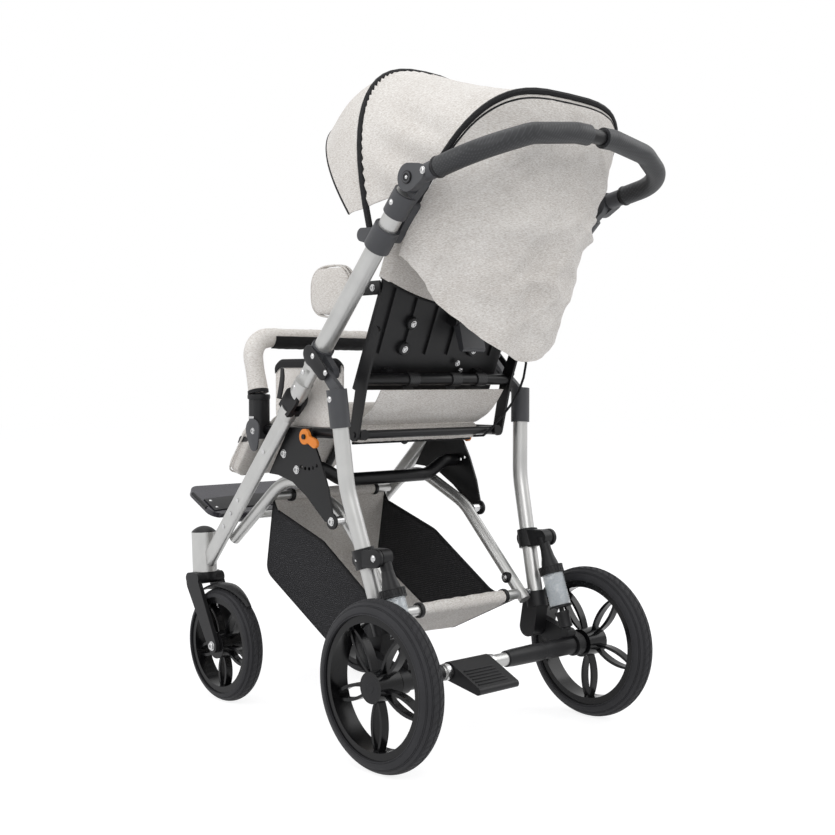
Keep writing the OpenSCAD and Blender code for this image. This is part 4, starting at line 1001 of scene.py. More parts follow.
@dataclass
class Studio:
    """Floor, lights and the camera that stands where the photographer stood."""

    eye: Point = (1712.6, 1645.6, 676.6)
    look: Point = (-0.67844, -0.73404, -0.03001)
    lens_mm: float = 55.17
    # Name, place and width in metres, power in watts
    lamps: tuple[tuple, ...] = (
        ("key_softbox", (2.2, 3.2, 3.2), 2.6, 62),
        ("side_softbox", (3.4, -1.2, 2.4), 2.4, 40),
        ("far_softbox", (-3.0, 1.6, 2.6), 2.4, 36),
        ("top_softbox", (0.0, -0.2, 4.2), 3.0, 40),
    )

    def build(self) -> None:
        """Makes the camera, the lights, the floor and the world."""
        scene = bpy.context.scene
        scene.view_settings.view_transform = "Standard"
        lens = bpy.data.cameras.new("photo_camera")
        lens.lens = self.lens_mm
        lens.sensor_width = 36.0
        lens.clip_end = 50
        camera = bpy.data.objects.new("photo_camera", lens)
        camera.location = place(*self.eye)
        camera.rotation_mode = "QUATERNION"
        camera.rotation_quaternion = Vector(self.look).to_track_quat("-Z", "Y")
        scene.collection.objects.link(camera)
        scene.camera = camera
        self._floor()
        self._world()
        for lamp in self.lamps:
            self._lamp(*lamp)

    def _lamp(self, name: str, at: Point, size: float, watts: float) -> None:
        """Adds one square softbox that looks at the seat.

        Args:
            name: Lamp name.
            at: Its place in metres.
            size: Its width in metres.
            watts: Its power.
        """
        data = bpy.data.lights.new(name, "AREA")
        data.size = size
        data.energy = watts
        lamp = bpy.data.objects.new(name, data)
        lamp.location = at
        lamp.rotation_mode = "QUATERNION"
        lamp.rotation_quaternion = (Vector((0, 0, 0.6)) - Vector(at)).to_track_quat("-Z", "Y")
        bpy.context.scene.collection.objects.link(lamp)

    def _seen(self, tree: Tree) -> Socket:
        """Gives one for rays that come from the camera, a mirror or glass.

        Args:
            tree: Its node tree.

        Returns:
            The value's socket.
        """
        path = add(tree, "ShaderNodeLightPath").outputs
        higher = {"operation": "MAXIMUM"}
        first = add(tree, "ShaderNodeMath", higher, {0: path["Is Camera Ray"], 1: path["Is Glossy Ray"]})
        links = {0: first.outputs[0], 1: path["Is Transmission Ray"]}
        return add(tree, "ShaderNodeMath", higher, links).outputs[0]

    def _floor(self) -> None:
        """Adds the plain pale floor, white where it is seen and still taking the buggy's shadow."""
        deselect()
        bpy.ops.mesh.primitive_plane_add(size=30)
        floor = bpy.context.object
        floor.name = "studio_floor"
        paint = bpy.data.materials.new("pale_studio_floor")
        paint.use_nodes = True
        tree = paint.node_tree
        tree.nodes.clear()
        plain = add(tree, "ShaderNodeBsdfDiffuse", {"Color": linear("#e4e4e5")})
        shade = add(tree, "ShaderNodeBsdfDiffuse", {"Color": linear("#a0a0a2")})
        glow = add(tree, "ShaderNodeEmission", {"Color": linear("#ffffff"), "Strength": 0.84})
        lit = add(tree, "ShaderNodeAddShader", {}, {0: shade.outputs[0], 1: glow.outputs[0]})
        mixed = add(
            tree, "ShaderNodeMixShader", {}, {0: self._seen(tree), 1: plain.outputs[0], 2: lit.outputs[0]}
        )
        add(tree, "ShaderNodeOutputMaterial", {}, {"Surface": mixed.outputs[0]})
        floor.data.materials.append(paint)

    def _world(self) -> None:
        """Sets an even pale sky that is white to the camera."""
        world = bpy.data.worlds.new("pale_studio")
        bpy.context.scene.world = world
        world.use_nodes = True
        tree = world.node_tree
        tree.nodes.clear()
        strength = add(
            tree, "ShaderNodeMapRange", {"To Min": 0.45, "To Max": 1.0}, {"Value": self._seen(tree)}
        )
        sky = add(
            tree, "ShaderNodeBackground", {"Color": linear("#ffffff")}, {"Strength": strength.outputs[0]}
        )
        add(tree, "ShaderNodeOutputWorld", {}, {"Surface": sky.outputs[0]})


@dataclass
class FrameFinishes:
    """Finishes of the frame's own nodes."""

    slots: dict[str, Finish] = field(default_factory=lambda: dict(SLOT_FINISH))
    nodes: dict[str, Finish] = field(default_factory=lambda: dict(NODE_FINISH))

    def dress(self, frame: dict) -> None:
        """Gives each node its own finish, or the finish of its record slot.

        Args:
            frame: What the frame loader returned.
        """
        wanted = {part["node"]: part["material_slot"] for part in frame["record"]["subparts"]}
        for name, obj in frame["nodes"].items():
            finish = self.nodes.get(name, self.slots[wanted[name]])
            obj.data.materials.clear()
            obj.data.materials.append(finish.material())


@dataclass
class Hood:
    """Hood cloth, visor, rear drape and their bindings."""

    half_mm: float = 221.0
    front_foot: Point = (-90.0, 932.0)
    front_top: Point = (-186.0, 1269.0)
    edge_foot: Point = (-120.0, 938.0)
    edge_top: Point = (-326.0, 1190.0)
    rear_half_mm: float = 208.0
    rear_foot: Point = (18.0, 984.0)
    rear_top: Point = (177.6, 1168.0)
    rear_power: float = 0.61
    clamp: Point = (215.0, 925.0)
    cloth_mm: float = 2.5
    bow_mm: float = 6.0
    # Angles in degrees round the bows
    bow_from: float = 5.0
    bow_span: float = 170.0
    drape_from: float = 8.0
    drape_span: float = 164.0
    # Depths in millimetres of the drape's forms, and the visor's bulge
    belly_mm: float = 40.0
    fold_mm: tuple[float, float] = (9.0, 4.0)
    crease_mm: float = 13.0
    ridge_mm: float = 6.5
    gather_mm: float = 11.0
    side_pull_mm: float = 44.0
    hem_wave_mm: float = 0.8
    room_mm: tuple[float, float] = (20.0, 5.0)
    visor_bulge_mm: float = 16.0

    def front(self, angle: float) -> Vector:
        """Place on the front bow."""
        return hoop(self.half_mm, self.front_foot, self.front_top, angle)

    def rear(self, angle: float) -> Vector:
        """Place on the rear bow."""
        return hoop(self.rear_half_mm, self.rear_foot, self.rear_top, angle, self.rear_power)

    def edge(self, angle: float) -> Vector:
        """Place on the visor's edge."""
        return hoop(self.half_mm, self.edge_foot, self.edge_top, angle)

    def build(self) -> None:
        """Makes the three cloths and their bindings."""
        self._shell()
        self._visor()
        self._drape()

    def _shell(self) -> None:
        """Cloth between the two bows, with a soft sag and pulls towards the clamps."""
        gap = (self.bow_mm + 0.8) * MM

        def shape(u: float, v: float) -> Vector:
            """Gives a place on the cloth between the bows.

            Args:
                u: Share across, 0 to 1.
                v: Share along, 0 to 1.

            Returns:
                The place.
            """
            a = self.bow_from + self.bow_span * u
            p, q = self.rear(a), self.front(a)
            run = q - p
            spot = p + run * (gap + v * (run.length - 2 * gap)) / run.length
            inward = (Vector((0, spot.y, 0.98)) - spot).normalized()
            mid = math.sin(math.pi * v)
            sag = 7 * mid * math.sin(math.radians(a)) ** 0.5
            low = 1 - math.sin(math.radians(a))
            pull = 7.0 * mid * low * math.sin(9 * v + 22 * low)
            pull += 2.4 * math.sin(1.7 * a) * max(0.0, v - 0.8) / 0.2
            ripple = noise.noise(spot * 8) * 5.0 * mid + noise.noise(spot * 24) * 1.4 * mid
            return spot + inward * (sag + ripple + pull) * MM

        piece = cloth_sheet("hood_shell_cloth", shape, 96, 40, self.cloth_mm)
        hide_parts("hood_cloth")
        piece.data.materials.append(MELANGE.material())
        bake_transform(piece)
        LOG.info("%s between push_frame and hood_front", piece.name)

    def _visor(self) -> None:
        """Front flap from the front bow to its bound edge."""
        gap = (self.bow_mm + 0.4) * MM

        def shape(u: float, v: float) -> Vector:
            """Gives a place on the visor.

            Args:
                u: Share across, 0 to 1.
                v: Share along, 0 to 1.

            Returns:
                The place.
            """
            a = self.bow_from + self.bow_span * u
            p, q = self.front(a), self.edge(a)
            run = q - p
            spot = p + run * (gap + v * (run.length - gap)) / run.length
            ripple = noise.noise(spot * 8 + Vector((3, 0, 0))) * 4 * math.sin(math.pi * min(1, v + 0.2))
            ripple -= self.visor_bulge_mm * math.sin(math.pi * v) * math.sin(math.radians(a))
            return spot + Vector((0, 0.6, -0.8)) * ripple * MM

        piece = cloth_sheet("hood_visor_cloth", shape, 80, 22, self.cloth_mm)
        settle(piece, "hood_front", "melange_cloth", ["visor"])
        rim = tube(
            "visor_edge_binding",
            [self.edge(self.bow_from + self.bow_span * k / 60) for k in range(61)],
            2.6,
            8,
        )
        settle(rim, "hood_front", "bow_rod")

    def hem(self, angle: float) -> Vector:
        """Place on the drape's hem."""
        s, c = math.sin(math.radians(angle)), math.cos(math.radians(angle))
        return place(203 * c, -10 + 100 * s**3.2, 898 - 190 * s**2)

    def _gather(self, spot: Vector) -> float:
        """Gives the depth in millimetres of the folds that spread from the clamps.

        Args:
            spot: Place in the row frame.

        Returns:
            The depth.
        """
        side = (self.clamp[0] - abs(spot.x) / MM, spot.z / MM - self.clamp[1])
        far = math.hypot(*side)
        turn = math.atan2(side[1], max(side[0], 1.0))
        wave = math.sin(turn * 8.0 + 0.6) + 0.5 * math.sin(turn * 17.0)
        return self.gather_mm * wave * math.exp(-far / 140) * (1 - math.exp(-far / 45))

    def _drape(self) -> None:
        """Rear drape that hangs from the rear bow in soft folds, with a stitched hem."""
        back = Vector(
            (0, self.rear_top[1] - self.rear_foot[1], self.rear_foot[0] - self.rear_top[0])
        ).normalized()
        behind = back * (self.bow_mm + 0.8 + self.cloth_mm / 2) * MM

        def shape(u: float, v: float) -> Vector:
            """Gives a place on the drape.

            Args:
                u: Share across, 0 to 1.
                v: Share along, 0 to 1.

            Returns:
                The place.
            """
            a = self.drape_from + self.drape_span * u
            spot = (self.rear(a) + behind).lerp(self.hem(a), v)
            s = math.sin(math.radians(a))
            deep, fine = self.fold_mm
            fold = (deep * math.sin(math.pi * 7 * u) + fine * math.sin(math.pi * 15 * u + 1.3)) * v * s**0.5
            belly = self.belly_mm * max(0.0, math.sin(math.pi * v**0.8)) ** 1.1 * s
            slack = math.sin(math.pi * min(1.0, v * 0.9 + 0.05)) * s**0.6
            crease = noise.noise(spot * 7 + Vector((0, 0, 5))) * self.crease_mm * slack
            for tilt, offset in ((15.0, 2.0), (-9.0, 7.0)):
                across = Vector((spot.x * 9 + spot.z * 6, spot.z * 19 - spot.x * tilt, offset))
                crease += (1 - min(1.0, abs(noise.noise(across)) * 4)) * self.ridge_mm * slack
            hem = self.hem_wave_mm * math.sin(math.pi * 46 * u) * max(0.0, v - 0.93) / 0.07
            pull = -self.side_pull_mm * (1 - s) ** 3 * min(1.0, v / 0.4) ** 1.5
            room = self.room_mm[0] * slack + self.room_mm[1] * math.exp(-v / 0.06) * s
            depth = belly + fold + crease + self._gather(spot) * slack + hem + pull - room
            return spot + Vector((0, depth * MM, 0))

        piece = cloth_sheet("hood_rear_drape", shape, 120, 72, self.cloth_mm)
        settle(piece, "push_frame", "melange_cloth", ["hood_drape"])
        welt = [shape(k / 80, 0.016) for k in range(81)]
        piping = tube("hood_rear_piping", welt, 2.4, 8)
        settle(piping, "push_frame", "bow_rod")
        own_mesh(piece)


@dataclass
class PadSize:
    """Sizes of one pad in millimetres, on its own flat base."""

    width: float
    length: float
    rim: float
    crown: float
    squareness: float = 7.0

    def edge(self, angle: float) -> tuple[float, float]:
        """Gives the pad's outline at an angle, without the pull-in of its sides.

        Args:
            angle: Angle in radians.

        Returns:
            Place across and along, in millimetres.
        """
        c, s = math.cos(angle), math.sin(angle)
        far = (abs(c) ** self.squareness + abs(s) ** self.squareness) ** (-1 / self.squareness)
        return self.width / 2 * c * far, self.length / 2 * s * far

    def crowned(self, a: float, b: float, c: float) -> Vector:
        """Bends a point of a plain cube into the pad's crowned form.

        Args:
            a: Share across, from -1 to 1.
            b: Share along, from -1 to 1.
            c: Share of the height, from -1 to 1.

        Returns:
            The bent point in metres.
        """
        n = self.squareness
        both = (abs(a) ** n + abs(b) ** n) ** (1 / n)
        pull = max(abs(a), abs(b)) / both if both > 1e-9 else 1.0
        dome = math.sqrt(max(0.0, 1 - abs(a) ** 3.5)) * math.sqrt(max(0.0, 1 - abs(b) ** 3.5))
        waist_x = 1 - 0.02 * (1 - b * b)
        waist_y = 1 - 0.02 * (1 - a * a)
        height = (self.rim + self.crown * dome) * (c + 1) / 2
        across, along = a * pull * self.width / 2 * waist_x, b * pull * self.length / 2 * waist_y
        return Vector((across, along, height)) * MM

    def form(self, name: str, cuts: int) -> Piece:
        """Makes the pad's crowned form from a cube with that many cuts.

        Args:
            name: Piece name.
            cuts: Cuts along each edge of the cube.

        Returns:
            The piece.
        """
        deselect()
        bpy.ops.mesh.primitive_cube_add(size=2)
        piece = bpy.context.object
        piece.name = name
        bpy.ops.object.mode_set(mode="EDIT")
        bpy.ops.mesh.select_all(action="SELECT")
        bpy.ops.mesh.subdivide(number_cuts=cuts)
        bpy.ops.object.mode_set(mode="OBJECT")
        for vertex in piece.data.vertices:
            vertex.co = self.crowned(*vertex.co)
        return piece


@dataclass
class Upholstery:
    """Seat, back, calf and trunk pads, each swollen from a crowned block, with welts and straps."""

    voxel_mm: float = 6.0
    pressure: float = 4.0
    cap_mm: float = 7.0
    lean: float = BACK_LEAN
    seat_at: Point = (-368.0, 578.6)
    back_run: float = 180.0
    calf_at: Point = (-545.0, 573.0)
    calf_run: float = 81.0
    # How far the pads' flat bases stand off the frame
    base_mm: float = 8.6
    trunk_at: Point = (-249.0, 843.0)
    trunk_x: float = 180.6
    bar_x: float = 183.0
    bar_y: float = -204.0
    bar_bolts_y: Point = (-158.0, -128.0)
    strap_mm: float = 15.0

    def build(self) -> None:
        """Makes the pads in turn, and then what is sewn or strapped to them."""
        seat = facing(place(0, *self.seat_at), (0, 0, 1), (0, 1, 0))
        self._pad(
            "seat_pad", PadSize(318, 311, 13, 32), seat, "seat", ["seat_cushion"], [(1, 60, 4), (1, -70, 4)]
        )
        front = Vector((0, -math.cos(self.lean), math.sin(self.lean)))
        up = Vector((0, math.sin(self.lean), math.cos(self.lean)))
        back_at = place(0, BACK_Y, BACK_Z) + (up * self.back_run + front * self.base_mm) * MM
        back = facing(back_at, front, up)
        self._pad(
            "back_pad",
            PadSize(336, 336, 11, 24),
            back,
            "backrest",
            ["back_cushion"],
            [(0, 92, 4), (0, -92, 4), (1, 40, 3)],
        )
        face, down = Vector((0, -0.8, 0.6)), Vector((0, -0.6, -0.8))
        calf_at = place(0, *self.calf_at) + (down * self.calf_run + face * self.base_mm) * MM
        calf = facing(calf_at, face, -down)
        pad = self._pad("calf_pad_cover", PadSize(294, 130, 33, 13), calf, "legrest", ["calf_pad"], [])
        self._calf_strap(pad, calf)
        for side, label in SIDES:
            inner = facing(place(side * self.trunk_x, *self.trunk_at), (-side, 0, 0))
            nodes = ["trunk_supports"] if side > 0 else []
            self._pad(f"trunk_pad_{label}", PadSize(120, 97, 8, 11, 2.8), inner, "backrest", nodes, [])
            outer = facing(place(side * (self.trunk_x + 0.1), *self.trunk_at), (side, 0, 0))
            self._pad(f"trunk_cover_{label}", PadSize(119, 96, 6.5, 4, 2.8), outer, "backrest", [], [])
        self._trunk_bars()

    def _pad(
        self,
        name: str,
        size: PadSize,
        turn: Matrix,
        body: str,
        replaced: Sequence[str],
        seams: Sequence[tuple[int, float, float]],
    ) -> Piece:
        """Makes one pad and its welt.

        Args:
            name: Piece name.
            size: Its sizes before it swells.
            turn: Where its flat base lies.
            body: Body that it moves with.
            replaced: Frame nodes that it stands for.
            seams: Sewn channels as the axis they cross, their place and their depth in millimetres.

        Returns:
            The pad.
        """
        piece = size.form(name, 21)
        top = size.rim + size.crown + 4

        def stay(co: Vector) -> Vector:
            """Keeps a point inside the room that the pad has.

            Args:
                co: Place of a point.

            Returns:
                The place within the pad's room.
            """
            lim_x, lim_y = size.width / 2 + 3, size.length / 2 + 3
            return Vector(
                (
                    max(-lim_x * MM, min(lim_x * MM, co.x)),
                    max(-lim_y * MM, min(lim_y * MM, co.y)),
                    max(0.0, min(top * MM, co.z)),
                )
            )

        inflate(piece, self.voxel_mm, self.pressure, self.cap_mm, stay)
        for vertex in piece.data.vertices:
            high = max(0.0, min(1.0, vertex.co.z / MM / size.rim - 1))
            for axis, at, depth in seams:
                off = (vertex.co[axis] / MM - at) / 4.5
                vertex.co.z -= depth * MM * math.exp(-off * off) * high
        piece.data.transform(turn)
        settle(piece, body, "melange_cloth", replaced)
        rim = [(*size.edge(2 * math.pi * k / 120), size.rim * 0.6) for k in range(120)]
        welt = tube(f"{name}_welt", [turn @ (Vector((x, y, z)) * MM) for x, y, z in rim], 2.0, 8, True)
        settle(welt, body, "melange_cloth")
        return piece

    def _calf_strap(self, pad: Piece, turn: Matrix) -> None:
        """Level black strap across the front and sides of the calf pad, laid on its surface.

        Args:
            pad: The pad that it lies on.
            turn: Where the pad's flat base lies.
        """

        def shape(u: float, v: float) -> Vector:
            """Gives a place on the strap before it hugs the pad.

            Args:
                u: Share across, 0 to 1.
                v: Share of the strap's width, 0 to 1.

            Returns:
                The place.
            """
            a = math.pi * u
            wide = math.copysign(abs(math.cos(a)) ** 0.35, math.cos(a)) * 158
            deep = max(0.0, math.sin(a)) ** 0.35
            run = 40 + 38 * deep + self.strap_mm * (v - 0.5)
            return turn @ (Vector((wide, 67 - (run - 14), 4 + 58 * deep)) * MM)

        strap = cloth_sheet("calf_strap", shape, 110, 6, 0.4)
        hug = strap.modifiers.new("hug", "SHRINKWRAP")
        hug.target = pad
        hug.wrap_mode = "ABOVE_SURFACE"
        hug.offset = 1.6 * MM
        apply_modifiers(strap)
        body = strap.modifiers.new("body", "SOLIDIFY")
        body.thickness = 0.8 * MM
        apply_modifiers(strap)
        settle(strap, "legrest", "bow_rod", finish=WEBBING)

    def _trunk_bars(self) -> None:
        """Flat steel bars that carry the trunk pads, each with two bolts."""
        bar = block("trunk_bar", (4, 192, 26), 1.8)
        spots = [
            Matrix.Translation(place(side * self.bar_x, self.bar_y, self.trunk_at[1])) for side in (1, -1)
        ]
        scatter("trunk_bars", bar, spots, "backrest", "black_steel")
        heads = []
        for s in (1, -1):
            for y in self.bar_bolts_y:
                heads.append(facing(place(s * (self.bar_x + 2), y, self.trunk_at[1]), (s, 0, 0)))
        scatter("trunk_bar_bolts", bolt("trunk_bolt", 5, 3), heads, "backrest", "fastener")


@dataclass
class BumperCover:
    """Padded bar in front of the seat: cloth sleeve, black gripping strip and leg stubs."""

    leg_x: float = 186.0
    foot: Point = (-482.0, 596.0)
    turn: Point = (-482.0, 648.0)
    bar: Point = (-509.0, 762.0)
    bend: float = 46.0
    radius: float = 20.0
    stub_radius: float = 11.0
    strip_half: float = 136.0
    strip_proud: float = 1.4
    cuff_at: Point = (-482.5, 650.0)
    cuff: tuple[Point, ...] = ((19.4, -3), (21.4, -2), (21.4, 4), (19.4, 5))

    def build(self) -> None:
        """Makes the sleeve, the strip and the stubs."""
        corners = [
            place(self.leg_x, *self.turn),
            place(self.leg_x, *self.bar),
            place(-self.leg_x, *self.bar),
            place(-self.leg_x, *self.turn),
        ]
        route = respaced(rounded_route(corners, self.bend, 12), 4)
        sleeve = tube("bumper_sleeve", route, self.radius, 36)

        def depth(p: Vector) -> float:
            """Gives the depth of the sleeve's wrinkles."""
            slack = noise.noise(Vector((p.x * 60, p.y * 18, p.z * 18)))
            return 1.3 * slack + 1.2 * noise.noise(p * 14 + Vector((2, 5, 1)))

        crumple(sleeve, depth)
        settle(sleeve, "bumper", "melange_cloth", ["bumper_bar"])
        self._strip()
        stubs = []
        for side in (1, -1):
            line = [place(side * self.leg_x, *self.foot), place(side * self.leg_x, *self.turn)]
            stubs.append(tube("bumper_stub", line, self.stub_radius, 20))
        settle(join("bumper_leg_stubs", stubs), "bumper", "black_plastic")
        cuff = turned("cuff", self.cuff, 32)
        ends = [facing(place(s * self.leg_x, *self.cuff_at), (0, -0.23, 0.97), (0, 1, 0)) for s in (1, -1)]
        scatter("bumper_cuffs", cuff, ends, "bumper", "bow_rod")

    def _strip(self) -> None:
        """Black wrinkled strip on the rear and underside of the bar."""
        low = self.radius + self.strip_proud

        def shape(u: float, v: float) -> Vector:
            """Gives a place on the strip.

            Args:
                u: Share across, 0 to 1.
                v: Share round the bar, 0 to 1.

            Returns:
                The place.
            """
            x = self.strip_half * (2 * u - 1)
            a = math.radians(-8 + 92 * v)
            ends = min(1.0, 9 * u, 9 * (1 - u))
            r = low + (1.0 + 0.9 * noise.noise(Vector((x * 0.09, v * 3, 1)))) * ends
            return place(x, self.bar[0] + r * math.cos(a), self.bar[1] - r * math.sin(a))

        settle(cloth_sheet("bumper_strip", shape, 70, 20, 1.6), "bumper", "bow_rod")


@dataclass
class SideGuards:
    """Cloth-covered guards at the seat's sides, with a dark strip along the top."""

    mid: Point = (-319.5, 648.5)
    length: float = 213.0
    height: float = 130.0
    inner_x: float = 181.0
    # Section of the strip over the top edge, as X and Z
    strip: tuple[Point, ...] = (
        (188.2, 699.0),
        (188.6, 709.0),
        (187.2, 714.2),
        (184.2, 715.6),
        (181.2, 714.2),
        (179.8, 709.0),
        (180.2, 699.0),
    )

    def build(self) -> None:
        """Makes both guards and their strips."""
        strips = []
        size = PadSize(self.length, self.height, 4.2, 2.0, 6.0)
        for side, label in SIDES:
            piece = size.form(f"side_guard_{label}", 31)
            piece.data.transform(facing(place(side * self.inner_x, *self.mid), (side, 0, 0)))
            smooth(piece, 60)
            settle(piece, "seat", "melange_cloth", ["side_guards"] if side > 0 else [])
            strips.append(self._strip(side))
        settle(join("side_guard_strips", strips), "seat", "bow_rod")

    def _strip(self, side: int) -> Piece:
        """Makes one dark strip over a guard's top edge.

        Args:
            side: One on the left, minus one on the right.

        Returns:
            The piece.
        """
        ring = self.strip

        def shape(u: float, v: float) -> Vector:
            """Gives a place on the strip.

            Args:
                u: Share along the guard, 0 to 1.
                v: Share round the section, 0 to 1.

            Returns:
                The place.
            """
            k = min(5, int(v * 6))
            t = v * 6 - k
            x = ring[k][0] + (ring[k + 1][0] - ring[k][0]) * t
            z = ring[k][1] + (ring[k + 1][1] - ring[k][1]) * t
            y = self.mid[0] + (u - 0.5) * (self.length - 8)
            drop = 19 * max(0.0, abs(u - 0.5) * 2 - 0.82) ** 1.5 / 0.18**1.5
            return place(side * x, y, z - drop * 0.6)

        return cloth_sheet("side_guard_strip", shape, 40, 18, 1.2)


@dataclass
class Basket:
    """Hung tray under the seat: cloth front, floor and rear, net sides, hems round the cross tubes."""

    half: float = 149.0
    front_tube: Point = (-470.0, 438.0)
    rear_tube: Point = (-81.0, 249.5)
    corners: tuple[Point, ...] = (
        (-478.0, 430.0), (-503.0, 280.0), (-290.0, 158.0), (-262.0, 158.0), (-86.0, 240.0)
    )
    edge: tuple[Point, ...] = ((-464.0, 406.0), (-318.0, 357.0), (-148.0, 245.0), (-108.0, 243.0))
    corner_bend: float = 26.0
    edge_bend: float = 60.0
    side_gap: float = 1.5
    edge_binding: float = 3.4
    seam_binding: float = 2.2
    front_hem: float = 11.6
    rear_hem: float = 12.6
    hem_half: float = 108.0
    collar_x: float = 113.0
    # Collar's profile as radius beyond the hem and height
    collar: tuple[Point, ...] = ((-2, -4), (1.6, -4), (2.2, 0), (1.6, 4), (-2, 4))

    def build(self) -> None:
        """Makes the sheet, the sides, their bindings and the hems."""
        route = respaced(rounded_route([place(0, *c) for c in self.corners], self.corner_bend, 8), 6)
        brink = respaced(rounded_route([place(0, *c) for c in self.edge], self.edge_bend, 8), 6)
        along, brim = traveller(route), traveller(brink)

        def tray(u: float, v: float) -> Vector:
            """Gives a place on the tray.

            Args:
                u: Share across, 0 to 1.
                v: Share along, 0 to 1.

            Returns:
                The place.
            """
            spot = along(v)
            low = math.sin(math.pi * u) * math.sin(math.pi * v)
            wrinkle = noise.noise(Vector((u * 5, spot.y * 12, spot.z * 12))) * 3.0 * low
            wrinkle += 1.2 * low * math.sin(26 * v + 3 * u)
            return spot + Vector((self.half * (2 * u - 1), 0, wrinkle + 3 * low)) * MM

        piece = cloth_sheet("basket_tray", tray, 60, len(route) - 1, 2.2)
        settle(piece, "chassis", "melange_cloth", ["basket"])
        bound = []
        for side, label in SIDES:

            def panel(u: float, v: float, side: int = side) -> Vector:
                """Gives a place on one net side.

                Args:
                    u: Share along the seam, 0 to 1.
                    v: Share up the side, 0 to 1.
                    side: One on the left, minus one on the right.

                Returns:
                    The place.
                """
                spot = along(u).lerp(brim(u), v)
                bulge = math.sin(math.pi * u) * math.sin(math.pi * min(1, v + 0.1))
                wave = noise.noise(Vector((spot.y * 9, spot.z * 9, 3.0))) * 2.5 * bulge
                return spot + Vector((side * (self.half + self.side_gap + 2.5 * bulge + wave), 0, 0)) * MM

            net = cloth_sheet(f"basket_side_{label}", panel, 90, 30, 1.2)
            settle(net, "chassis", "mesh")
            shift = Vector((side * (self.half + self.side_gap) * MM, 0, 0))
            bound.append(tube("basket_binding", [p + shift for p in brink], self.edge_binding, 8))
            bound.append(tube("basket_binding", [p + shift for p in route], self.seam_binding, 8))
        settle(join("basket_bindings", bound), "chassis", "bow_rod")
        self._hems()

    def _hems(self) -> None:
        """Makes the sleeves sewn round the two cross tubes, and the collars at their ends."""
        hems, rings = [], []
        for middle, radius in ((self.front_tube, self.front_hem), (self.rear_tube, self.rear_hem)):
            line = [place(self.hem_half * (k / 36 - 1), *middle) for k in range(73)]
            sleeve = tube("basket_hem", line, radius, 24)
            crumple(sleeve, lambda p: 1.1 * noise.noise(Vector((p.x * 55, p.y * 40, p.z * 40))))
            hems.append(sleeve)
            ring = turned("collar", [(radius + r, h) for r, h in self.collar], 28)
            ends = [facing(place(s * self.collar_x, *middle), (1, 0, 0)) for s in (1, -1)]
            rings.append(copies("collar", ring, ends))
        settle(join("basket_hems", hems), "chassis", "melange_cloth")
        settle(join("basket_collars", rings), "chassis", "black_plastic")


